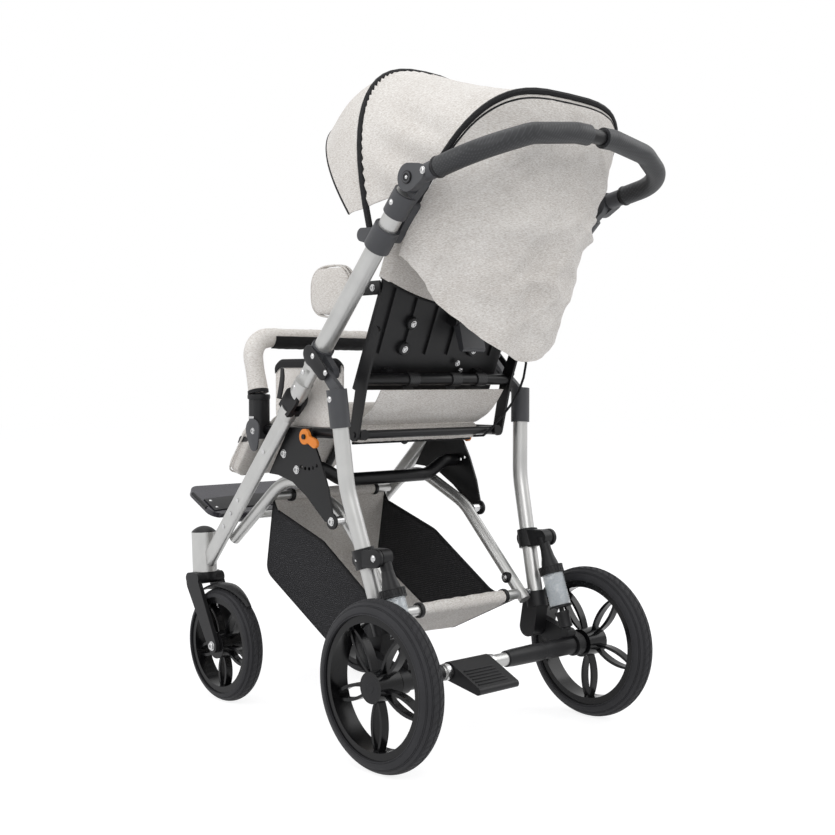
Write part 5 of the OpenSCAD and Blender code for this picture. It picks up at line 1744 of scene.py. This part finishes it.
@dataclass
class RearCover:
    """Cloth at the back of the seat: flap over the recline gap, seat roll, top pocket and webbing."""

    lean: float = BACK_LEAN
    cross_tube: Point = (-148.0, 676.0)
    loop_radius: float = 12.4
    loops_at: Point = (71.0, -42.0, -112.0)
    loop_half: float = 13.0
    roll_half: float = 158.0
    roll_at: Point = (-215.0, 573.0)
    roll_radius: float = 15.5
    cord_half: float = 157.0
    cord_at: Point = (-219.0, 555.2)
    cord_radius: float = 3.2
    flap_half: float = 163.0
    flap_foot: Point = (-207.0, 590.0)
    flap_rise: Point = (77.0, 66.0)
    flap_sag: float = 9.0
    pocket_half: float = 187.0
    pocket_top: float = 364.0
    pocket_hem: float = 178.0
    hem_rise: float = 43.0

    def on_back(self, x: float, run: float, behind: float) -> Vector:
        """Gives a place by its run up the back and how far it lies behind the shell's rear face."""
        s, c = math.sin(self.lean), math.cos(self.lean)
        return place(x, BACK_Y + run * s + behind * c, BACK_Z + run * c - behind * s)

    def build(self) -> None:
        """Makes the pieces from the seat up."""
        self._roll()
        self._flap()
        self._pocket()
        self._webbing()

    def _roll(self) -> None:
        """Grey roll of cloth round the seat board's rear edge, with a black cord under it."""

        def shape(u: float, v: float) -> Vector:
            """Gives a place on the roll.

            Args:
                u: Share across, 0 to 1.
                v: Share round the roll, 0 to 1.

            Returns:
                The place.
            """
            x = self.roll_half * (2 * u - 1)
            a = math.radians(100 - 215 * v)
            soft = 1.2 * noise.noise(Vector((x * 0.03, v * 3, 4)))
            soft += 0.7 * noise.noise(Vector((x * 0.11, v * 2, 7)))
            r = self.roll_radius + soft
            return place(x, self.roll_at[0] + r * math.cos(a), self.roll_at[1] + r * math.sin(a))

        roll = cloth_sheet("seat_rear_roll", shape, 90, 24, 2.0)
        settle(roll, "seat", "melange_cloth")
        line = [place(self.cord_half * (k / 20 - 1), *self.cord_at) for k in range(41)]
        cord = tube("seat_rear_cord", line, self.cord_radius, 10)
        settle(cord, "seat", "bow_rod")

    def _flap(self) -> None:
        """Cloth flap that closes the gap between the seat and the backrest."""

        def shape(u: float, v: float) -> Vector:
            """Gives a place on the flap.

            Args:
                u: Share across, 0 to 1.
                v: Share along, 0 to 1.

            Returns:
                The place.
            """
            x = self.flap_half * (2 * u - 1)
            y = self.flap_foot[0] + self.flap_rise[0] * v
            z = self.flap_foot[1] + self.flap_rise[1] * v
            sag = self.flap_sag * math.sin(math.pi * v)
            crease = noise.noise(Vector((x * 0.018, v * 4, 2))) * 5
            crease += noise.noise(Vector((x * 0.05, v * 2, 9))) * 2
            return place(x, y + 0.6 * (sag + crease * math.sin(math.pi * v)), z - 0.8 * sag)

        flap = cloth_sheet("rear_flap", shape, 80, 26, 2.0)
        flap.data.materials.append(MELANGE.material())
        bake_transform(flap)
        LOG.info("%s between seat and backrest", flap.name)

    def _pocket(self) -> None:
        """Cover pocket over the upper half of the backrest, with a curved lower edge."""

        def hem(x: float) -> float:
            """Gives the run of the curved lower edge."""
            return self.pocket_hem + self.hem_rise * (abs(x) / (self.pocket_half + 1)) ** 1.7

        def shape(u: float, v: float) -> Vector:
            """Gives a place on the pocket.

            Args:
                u: Share across, 0 to 1.
                v: Share along, 0 to 1.

            Returns:
                The place.
            """
            t = 2 * u - 1
            x = self.pocket_half * math.sin(t * math.pi / 2 * 0.97) / math.sin(math.pi / 2 * 0.97)
            wrap = max(0.0, abs(t) - 0.8) / 0.2
            run = self.pocket_top + (hem(x) - self.pocket_top) * v
            over = max(0.0, 1 - v / 0.08)
            slack = math.sin(math.pi * min(1.0, v)) * (1 - wrap)
            crease = noise.noise(Vector((x * 0.014, run * 0.02, 3))) * 3.2 * slack
            behind = 8.2 + 2.4 * slack + crease - 17 * wrap**2 - 14 * over**2
            return self.on_back(x, run, behind)

        pocket = cloth_sheet("back_cover_pocket", shape, 90, 56, 2.2)
        settle(pocket, "backrest", "melange_cloth")
        edge = []
        for k in range(71):
            x = -186 + 372 * k / 70
            edge.append(self.on_back(x, hem(x), 8.4 - 17 * max(0.0, (abs(x) - 172) / 16) ** 2))
        settle(tube("back_cover_hem", edge, 2.6, 8), "backrest", "bow_rod")

    def _webbing(self) -> None:
        """Loops of webbing round the back cross tube, with tails to the flap."""

        def round_tube(x: float, angle: float) -> Vector:
            """Gives a place round the back cross tube.

            Args:
                x: Place across in millimetres.
                angle: Angle in degrees.

            Returns:
                The place.
            """
            a = math.radians(angle)
            y, z = self.cross_tube
            return place(x, y + self.loop_radius * math.cos(a), z + self.loop_radius * math.sin(a))

        def band(at: float) -> Piece:
            """Makes one loop with its tail.

            Args:
                at: Place of its middle across, in millimetres.

            Returns:
                The piece.
            """
            def shape(u: float, v: float) -> Vector:
                """Gives a place on the loop or its tail.

                Args:
                    u: Share across, 0 to 1.
                    v: Share along, 0 to 1.

                Returns:
                    The place.
                """
                x = at + self.loop_half * (2 * u - 1)
                if v < 0.7:
                    return round_tube(x, -110 + 300 * v / 0.7)
                t = (v - 0.7) / 0.3
                return round_tube(x, 190) + Vector((0, 4 * t, -24 * t)) * MM

            return cloth_sheet("webbing_loop", shape, 6, 44, 1.6)

        loops = [band(at) for at in self.loops_at]
        settle(join("back_webbing_loops", loops), "backrest", "bow_rod", finish=WEBBING)


@dataclass
class WheelSize:
    """Sizes of one kind of wheel in millimetres."""

    label: str
    ring: float
    section: float
    seat: float
    x: float
    y: float
    z: float
    sipes: int


@dataclass
class Wheels:
    """Tyres with lined walls and a siped tread, hub caps and axle bolts."""

    rear: WheelSize = field(
        default_factory=lambda: WheelSize("rear", 126.0, 24.0, 123.6, 280.0, 0.0, AXLE_Z, 60)
    )
    front: WheelSize = field(
        default_factory=lambda: WheelSize("front", 97.5, 21.5, 100.1, CASTOR_X, CASTOR_Y, CASTOR_Z, 50)
    )

    def build(self) -> None:
        """Makes the four tyres, the hub caps and the bolts."""
        for size in (self.rear, self.front):
            for side, label in SIDES:
                body = f"{size.label}_wheel_{label}"
                turn = facing(place(side * size.x, size.y, size.z), (side, 0, 0))
                tyre = put_at(f"{size.label}_tyre_cover_{label}", self._tyre(size), turn)
                settle(tyre, body, "tyre", [f"{size.label}_tyre_{label}"])
                self._hub(size, side, body, label)
        self._axle_bolts()

    def _tyre(self, size: WheelSize) -> Piece:
        """Makes one tyre about the Z axis.

        Args:
            size: Sizes of the wheel.

        Returns:
            The piece.
        """
        profile: list[tuple[float, float]] = []
        lines = {28, 34, 52, 58, 88}
        for k in range(-132, 133, 2):
            a = math.radians(k)
            depth = 0.9 if abs(k) in lines else 0.0
            if abs(k) <= 2:
                depth = 1.4
            r = size.ring + (size.section - depth) * math.cos(a)
            h = (size.section - depth) * math.sin(a)
            if r < size.seat:
                continue
            profile.append((r, h))
        profile = [(size.seat, profile[0][1] * 0.8), *profile, (size.seat, profile[-1][1] * 0.8)]
        steps = size.sipes * 4
        piece = turned("tyre", [*profile, profile[0]], steps)
        for vertex in piece.data.vertices:
            r = math.hypot(vertex.co.x, vertex.co.y)
            wall = math.degrees(math.atan2(vertex.co.z / MM, r / MM - size.ring))
            if 5 < abs(wall) < 25:
                turn = math.atan2(vertex.co.y, vertex.co.x) / (2 * math.pi) * size.sipes
                turn += (abs(wall) - 5) * 0.03 * (1 if wall > 0 else -1)
                if (turn % 1.0) < 0.26:
                    vertex.co.x *= 1 - 1.3 * MM / r
                    vertex.co.y *= 1 - 1.3 * MM / r
        smooth(piece, 30)
        return piece

    def _hub(self, size: WheelSize, side: int, body: str, label: str) -> None:
        """Makes one wheel's matt cap.

        Args:
            size: Sizes of the wheel.
            side: One on the left, minus one on the right.
            body: Body that it moves with.
            label: Name of its side.
        """
        if size.label == "rear":
            cap = turned(
                "hub",
                [(0, 1.2), (8, 1.0), (9, 0.2), (22, 0.0), (25.5, -0.8), (27.2, -3), (27.2, -12), (20, -12)],
                48,
            )
            x = 301.2
        else:
            cap = turned("hub", [(0, 1.0), (11, 0.6), (13, -0.6), (14, -3), (14, -8), (8, -8)], 36)
            x = size.x + 24
        turn = facing(place(side * x, size.y, size.z), (side, 0, 0))
        settle(put_at(f"{size.label}_hub_cap_{label}", cap, turn), body, "black_plastic", finish=HUB_MATT)

    def _axle_bolts(self) -> None:
        """Makes the bolts at the castor forks' feet."""
        for side, label in SIDES:
            outs = [
                facing(place(side * CASTOR_X + t * 33.5, CASTOR_Y, CASTOR_Z), (t, 0, 0)) for t in (1, -1)
            ]
            scatter(
                f"castor_axle_bolts_{label}", bolt("axle_bolt", 7.5, 5), outs, f"castor_{label}", "fastener"
            )


@dataclass
class CastorGuards:
    """Curved wings over the front wheels, pointed to the rear."""

    radius: float = 128.0
    half: float = 19.0
    # Angles in degrees round the wheel
    start: float = 122.0
    sweep: float = 76.0

    def build(self) -> None:
        """Makes one wing on each castor."""
        for side, label in SIDES:

            def shape(u: float, v: float, side: int = side) -> Vector:
                """Gives a place on one wing.

                Args:
                    u: Share across, 0 to 1.
                    v: Share along, 0 to 1.
                    side: One on the left, minus one on the right.

                Returns:
                    The place.
                """
                a = math.radians(self.start - self.sweep * v)
                half = self.half * (1 - 0.75 * max(0.0, v - 0.45) / 0.55)
                t = 2 * u - 1
                r = self.radius - 4 * t * t
                x, y, z = side * CASTOR_X + half * t, CASTOR_Y + r * math.cos(a), CASTOR_Z + r * math.sin(a)
                return place(x, y, z)

            wing = cloth_sheet(f"castor_guard_{label}", shape, 14, 40, 3.0)
            settle(wing, f"castor_{label}", "black_plastic")


@dataclass
class Brake:
    """Ribs on the brake pedal, and the sleeves and rings on the rear axle."""

    top: tuple[Point, Point] = ((7.3, 165.4), (77.0, 132.3))
    pedal_x: float = 72.0
    ribs: int = 6
    first_rib: float = 0.36
    rib_step: float = 0.105
    rib: Point = (74.0, 2.6, 3.4)
    sleeve_x: float = 178.0
    guard_x: float = -84.0
    rings_x: Point = (8.0, 124.0)
    # Turned profiles as radius and height in millimetres
    sleeve: tuple[Point, ...] = ((12.4, -44), (17.6, -43), (18.2, -36), (17.4, 20), (15.2, 42), (12.4, 44))
    guard: tuple[Point, ...] = ((12.4, -52), (15.4, -50), (16.6, -30), (17.4, 30), (16.4, 51), (12.4, 52))
    ring: tuple[Point, ...] = ((12.6, -5), (15.0, -5), (15.6, 0), (15.0, 5), (12.6, 5))

    def build(self) -> None:
        """Makes the ribs, the axle's sleeves and guard, and the pedal's rings."""
        (y0, z0), (y1, z1) = self.top
        slope = Matrix.Rotation(math.atan2(z1 - z0, y1 - y0), 4, "X")
        spots = []
        for k in range(self.ribs):
            t = self.first_rib + self.rib_step * k
            spots.append(
                Matrix.Translation(place(self.pedal_x, y0 + (y1 - y0) * t, z0 + (z1 - z0) * t)) @ slope
            )
        scatter("brake_pedal_ribs", block("rib", self.rib, 0.9), spots, "pedal", "black_plastic")
        mids = [facing(place(s * self.sleeve_x, 0, AXLE_Z), (-s, 0, 0)) for s in (1, -1)]
        scatter("axle_sleeves", turned("sleeve", self.sleeve, 32), mids, "swing_arm", "black_plastic")
        middle = [facing(place(self.guard_x, 0, AXLE_Z), (-1, 0, 0))]
        scatter("axle_guard", turned("guard", self.guard, 32), middle, "swing_arm", "black_plastic")
        ends = [facing(place(x, 0, AXLE_Z), (1, 0, 0)) for x in self.rings_x]
        scatter("pedal_rings", turned("ring", self.ring, 32), ends, "swing_arm", "fastener")


@dataclass
class Springing:
    """Knurled collars, necks, cups and brackets of the rear springs."""

    foot: Point = (1.0, 175.0)
    head: Point = (-66.0, 359.0)
    x: float = 212.0
    # Stations in millimetres along the spring from its foot
    collar_middle: float = 128.0
    collar_ends: Point = (121.5, 135)
    neck_root: float = 136.2
    lower_root: float = 11.0
    cup_at: float = 54.0
    knurls: int = 22
    knurl_radius: float = 23.4
    # Turned profiles as radius and height in millimetres
    flange: tuple[Point, ...] = ((21.2, -1.5), (24.6, -1.5), (25.0, 0), (24.6, 1.5), (21.2, 1.5))
    neck: tuple[Point, ...] = ((11.2, 0), (17.5, 0.4), (16.6, 7), (13.2, 19), (11.8, 30), (11.2, 33))
    lower_neck: tuple[Point, ...] = (
        (8.5, 0), (13.5, 1.5), (12.6, 12), (13.4, 24), (15.6, 31), (15.2, 32.5), (8.5, 33)
    )
    cup: tuple[Point, ...] = ((17.0, -2.2), (22.0, -2.0), (22.4, 0.4), (22.0, 2.2), (21.2, 2.4))

    def build(self) -> None:
        """Makes the knurls, the turned rings, the brackets and their rivets."""
        run = Vector((0, self.head[0] - self.foot[0], self.head[1] - self.foot[1])).normalized()

        def at(station: float) -> Matrix:
            """Gives the placing at a station along the spring."""
            return facing(place(self.x, *self.foot) + run * station * MM, run)

        out = Matrix.Translation(Vector((self.knurl_radius, 0, 0)) * MM)
        turns = [Matrix.Rotation(2 * math.pi * k / self.knurls, 4, "Z") for k in range(self.knurls)]
        spots = both_sides(*(at(self.collar_middle) @ turn @ out for turn in turns))
        knurl = block("knurl", (2.0, 3.4, 14), 0.8)
        scatter("shock_collar_knurls", knurl, spots, "chassis", "black_plastic")
        rings = (
            ("shock_collar_flanges", self.flange, 40, "chassis", self.collar_ends),
            ("shock_necks", self.neck, 32, "chassis", (self.neck_root,)),
            ("shock_lower_necks", self.lower_neck, 32, "swing_arm", (self.lower_root,)),
            ("shock_cups", self.cup, 40, "chassis", (self.cup_at,)),
        )
        for name, profile, steps, body, stations in rings:
            ring = turned("ring", profile, steps)
            scatter(name, ring, both_sides(*map(at, stations)), body, "black_plastic")
        bracket = plate("bracket", link_outline((-113, 352), 15, (-66, 358), 17), 9, 2.0)
        spots = both_sides(side_plate(227))
        scatter("shock_brackets", bracket, spots, "chassis", "black_plastic")
        heads = both_sides(*(facing(place(236, *spot), (1, 0, 0)) for spot in ((-112, 352), (-68, 358))))
        scatter("shock_bracket_rivets", rivet("shock_rivet", 6.5, 3), heads, "chassis", "fastener")


@dataclass
class FrameFittings:
    """Rivets, bolts, latch plates, lock blades, tube ends, and socket and handle trim."""

    cap_rivet: Point = (262, -158, 640)
    # Runs in millimetres along the main tube
    tube_rivets: Point = (505, 546)
    clamp_rivets: Point = (872, 947)
    knuckle_screw: Point = (261.5, 88, 1022.5)
    arch_knob: Point = (154, -110, 279)
    knob: tuple[Point, ...] = ((0, 6), (8.5, 6), (11, 4), (11, -6), (0, -6))
    blade: tuple[Point, ...] = (
        (-342, 640), (-330, 638), (-322, 660), (-319, 680), (-321, 697), (-329, 699), (-331, 682), (-335, 664)
    )
    latch_rivets: tuple[Point, ...] = ((250.4, -222, 719), (250.4, -185, 688))
    socket_at: Point = (-482.0, 641.5)
    socket_bolt: Point = (206.4, -473, 572)
    clip_at: Point = (203.4, -482.0, 599.0)
    socket_collar: tuple[Point, ...] = ((18.6, -6), (22.6, -5.4), (23.4, -1), (22.6, 4), (18.6, 4.6))
    grip_ring: tuple[Point, ...] = ((13.4, -3), (18.6, -2.6), (19.2, 0), (18.6, 2.6), (13.4, 3))
    # Handle's pivot, the slope of its sides and how far along them the grips start
    handle_at: Point = (246.0, 50.0, 1015.0)
    handle_slope: Point = (0, 0.9816, 0.1908)
    grip_start: float = 61.0
    skin_radius: float = 18.5
    # Label, body, first and last run along the tube, the end to cut and its slant
    lock_ends: tuple[tuple, ...] = (
        ("upper", "push_frame", 490, 520, 490, 0.5),
        ("lower", "chassis", 426, 450, 450, 0.0),
    )
    seat_bolts: tuple[Point, ...] = ((200, -378, 530), (200, -337, 500.5), (200, -230, 408))

    def main_at(self, run: float) -> tuple[float, float, float]:
        """Gives a place on the near main tube's axis."""
        return 192 + 0.054 * run, -647 + 0.697 * run, 300 + 0.715 * run

    def build(self) -> None:
        """Makes the fittings of each body in turn."""
        self._rivets()
        self._latch_plates()
        self._lock_blades()
        self._lock_skins()
        self._socket_trim()
        self._handle_trim()

    def _pairs(self, spots: Iterable[Point]) -> list[Matrix]:
        """Gives placings for heads that face outwards on both sides."""
        return both_sides(*(facing(place(*spot), (1, 0, 0)) for spot in spots))

    def _on_tube(self, runs: Iterable[float], proud: float) -> list[Point]:
        """Gives places on the outer side of the near main tube."""
        return [(x + proud, y, z) for x, y, z in map(self.main_at, runs)]

    def _rivets(self) -> None:
        """Makes the round heads on the tubes and plates, and the knobs on the arch tubes."""
        push = self._on_tube(self.tube_rivets, 17.6) + self._on_tube(self.clamp_rivets, 21.6)
        heads = (
            ("push_tube_rivets", rivet, 5.2, 2.4, push, "push_frame"),
            ("leg_cap_rivets", rivet, 6.0, 2.6, [self.cap_rivet], "chassis"),
            ("seat_plate_bolts", bolt, 6.5, 4, self.seat_bolts, "chassis"),
            ("handle_socket_screws", bolt, 5.0, 2.6, [self.knuckle_screw], "handle"),
        )
        for name, kind, radius, height, spots, body in heads:
            scatter(name, kind("head", radius, height), self._pairs(spots), body, "fastener")
        knobs = both_sides(facing(place(*self.arch_knob), (-1, 0, 0)))
        scatter("arch_knobs", turned("knob", self.knob, 32), knobs, "chassis", "black_plastic")
        lift = Matrix.Translation(Vector((0, 0, 6)) * MM)
        tops = [knob @ lift for knob in knobs]
        scatter("arch_knob_bolts", bolt("knob_bolt", 5.2, 4), tops, "chassis", "fastener")

    def _latch_plates(self) -> None:
        """Makes the latch plates with two rivets each."""
        model = plate("latch_plate", link_outline((-235, 724), 16, (-195, 688), 14), 4, 1.2)
        spots = both_sides(side_plate(246.6))
        scatter("latch_plates", model, spots, "push_frame", "black_plastic")
        heads = self._pairs(self.latch_rivets)
        scatter("latch_plate_rivets", rivet("latch_rivet", 5.4, 2.4), heads, "push_frame", "fastener")

    def _lock_blades(self) -> None:
        """Makes the blades that free the fold locks."""
        model = plate("lock_blade", self.blade, 4, 1.4)
        spots = both_sides(side_plate(240.6))
        scatter("fold_lock_blades", model, spots, "chassis", "black_plastic")

    def _lock_skins(self) -> None:
        """Makes the tube ends that lie over the fold locks, cut aslant."""
        fall = Vector((0, 0.715, -0.697))
        for label, body, first, last, cut, slant in self.lock_ends:
            p, q = place(*self.main_at(first)), place(*self.main_at(last))
            end = place(*self.main_at(cut))
            axis = (place(*self.main_at(520)) - place(*self.main_at(432))).normalized()
            model = tube(f"lock_skin_{label}", [p, q], self.skin_radius, 36)
            for vertex in model.data.vertices:
                if (vertex.co - end).dot(axis) ** 2 < (4 * MM) ** 2:
                    vertex.co -= axis * (vertex.co - end).dot(fall) * slant
            scatter(f"lock_skins_{label}", model, both_sides(Matrix.Identity(4)), body, "silver_tube")

    def _socket_trim(self) -> None:
        """Makes the collars, lower cheeks, clips and bolts of the bumper sockets."""
        collar = turned("collar", self.socket_collar, 36)
        spots = [facing(place(s * 185, *self.socket_at), (0, 0, 1), (0, 1, 0)) for s in (1, -1)]
        scatter("socket_collars", collar, spots, "seat", "black_plastic")
        cheek = plate("cheek", link_outline((-476, 574), 23, (-472, 545), 14), 4, 1.4)
        scatter("socket_cheeks", cheek, both_sides(side_plate(202.6)), "seat", "grey_plastic")
        clip = block("clip", (3, 17, 5), 1.0)
        x, y, z = self.clip_at
        ends = [Matrix.Translation(place(s * x, y, z)) for s in (1, -1)]
        scatter("socket_clips", clip, ends, "seat", "fastener")
        heads = self._pairs([self.socket_bolt])
        scatter("socket_bolts", bolt("socket_bolt", 5.0, 3.0), heads, "seat", "fastener")

    def _handle_trim(self) -> None:
        """Makes the collars where the grips start, and the rings round the knuckle buttons."""
        ring = turned("grip_ring", self.grip_ring, 36)
        x, y, z = Vector(self.handle_at) + Vector(self.handle_slope) * self.grip_start
        start = facing(place(x, y, z), self.handle_slope)
        scatter("grip_end_rings", ring, both_sides(start), "handle", "black_plastic")
        for side, label in SIDES:
            low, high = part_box(f"knuckle_button_{label}")
            face = Vector((high[0] if side > 0 else low[0], (low[1] + high[1]) / 2, (low[2] + high[2]) / 2))
            radius = (high[2] - low[2]) / 2 / MM
            turn = facing(face, (side, 0, 0))
            profile = [(0.62, -1.0), (0.66, 0.9), (0.84, 0.9), (0.88, -1.0)]
            rim = turned("button_ring", [(radius * share, h) for share, h in profile], 36)
            settle(put_at(f"button_ring_{label}", rim, turn), f"button_{label}", "grey_plastic")
            pin = rivet("button_pin", radius * 0.3, 1.6)
            settle(put_at(f"button_pin_{label}", pin, turn), f"button_{label}", "fastener")


@dataclass
class FootPlate:
    """Smooth black band with screws across the footplate, and a lip along its sides."""

    axis: Point = (-695.0, 373.0)
    tilt: float = math.radians(26.4)
    band_half: float = 140.0
    band_start: float = 21.0
    band_width: float = 48.0
    band_bow: float = 7.0
    lip_x: float = 148.5

    def on_plate(self, x: float, run: float, proud: float) -> Vector:
        """Gives a place by its run from the hinge and its height over the plate's middle."""
        c, s = math.cos(self.tilt), math.sin(self.tilt)
        return place(x, self.axis[0] - run * c + proud * s, self.axis[1] + run * s + proud * c)

    def build(self) -> None:
        """Makes the band, its screws and the lips."""

        def shape(u: float, v: float) -> Vector:
            """Gives a place on the band.

            Args:
                u: Share across, 0 to 1.
                v: Share along, 0 to 1.

            Returns:
                The place.
            """
            x = -self.band_half + 2 * self.band_half * u
            edge = 4 * v * (1 - v)
            bow = self.band_bow * (1 - (x / self.band_half) ** 2)
            return self.on_plate(x, self.band_start + self.band_width * v + bow, 7.2 + 0.8 * edge)

        band = cloth_sheet("footplate_band", shape, 60, 14, 2.0)
        settle(band, "foot_board", "grip", ["footplate_grip"], BLACK_ABS)
        normal = (0.0, math.sin(self.tilt), math.cos(self.tilt))
        screws = [
            facing(self.on_plate(s * 128, run, 8.4), normal, (0, 1, 0)) for s in (1, -1) for run in (32, 60)
        ]
        scatter("footplate_screws", rivet("foot_screw", 3.6, 1.6), screws, "foot_board", "fastener")
        lips = []
        for side in (1, -1):
            line = [self.on_plate(side * self.lip_x, 40 + 62 * k / 12, 3.4) for k in range(13)]
            lips.append(tube("lip", line, 4.2, 12))
        settle(join("footplate_lips", lips), "foot_board", "black_plastic")


@dataclass
class BackFittings:
    """Screws on their bosses and the recline bracket's bolts, on the rear of the back shell."""

    lean: float = BACK_LEAN
    screws: tuple[Point, ...] = ((88, -131, 783), (92, -151, 736))
    bracket_bolts: tuple[Point, ...] = ((-58, -162, 711), (-72, -168, 696))
    boss: tuple[Point, ...] = ((0, 4.0), (11, 4.0), (13, 2.5), (13.5, -5.5), (0, -5.5))

    def build(self) -> None:
        """Makes the bosses, their screws and the bracket's bolts."""
        s, c = math.sin(self.lean), math.cos(self.lean)
        out = (0.0, c, -s)
        cover = RearCover()

        def run_of(y: float, z: float) -> float:
            """Gives the run up the back of a place known by its Y and Z."""
            return (y - BACK_Y) * s + (z - BACK_Z) * c

        spots = []
        for x, y, z in self.screws:
            for side in (1, -1):
                spots.append(facing(cover.on_back(side * x, run_of(y, z), 5.4), out))
        boss = turned("boss", self.boss, 32)
        scatter("shell_screw_bosses", boss, spots, "backrest", "black_plastic")
        lift = Matrix.Translation(Vector((0, 0, 4.0 * MM)))
        scatter(
            "shell_screws", bolt("shell_screw", 5.0, 2.6), [m @ lift for m in spots], "backrest", "fastener"
        )
        heads = []
        for x, y, z in self.bracket_bolts:
            heads.append(facing(cover.on_back(x, run_of(y, z), 8.0), out))
        scatter("recline_bracket_bolts", bolt("bracket_bolt", 4.6, 3.0), heads, "backrest", "fastener")


def main() -> None:
    """Builds the buggy's finishes and pieces in order."""
    logging.basicConfig(level=logging.INFO)
    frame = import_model()
    Studio().build()
    FrameFinishes().dress(frame)
    builders = (
        Hood(),
        Upholstery(),
        BumperCover(),
        SideGuards(),
        Basket(),
        RearCover(),
        BackFittings(),
        Wheels(),
        CastorGuards(),
        Brake(),
        Springing(),
        FrameFittings(),
        FootPlate(),
    )
    for builder in builders:
        builder.build()


if __name__ == "__main__":
    main()
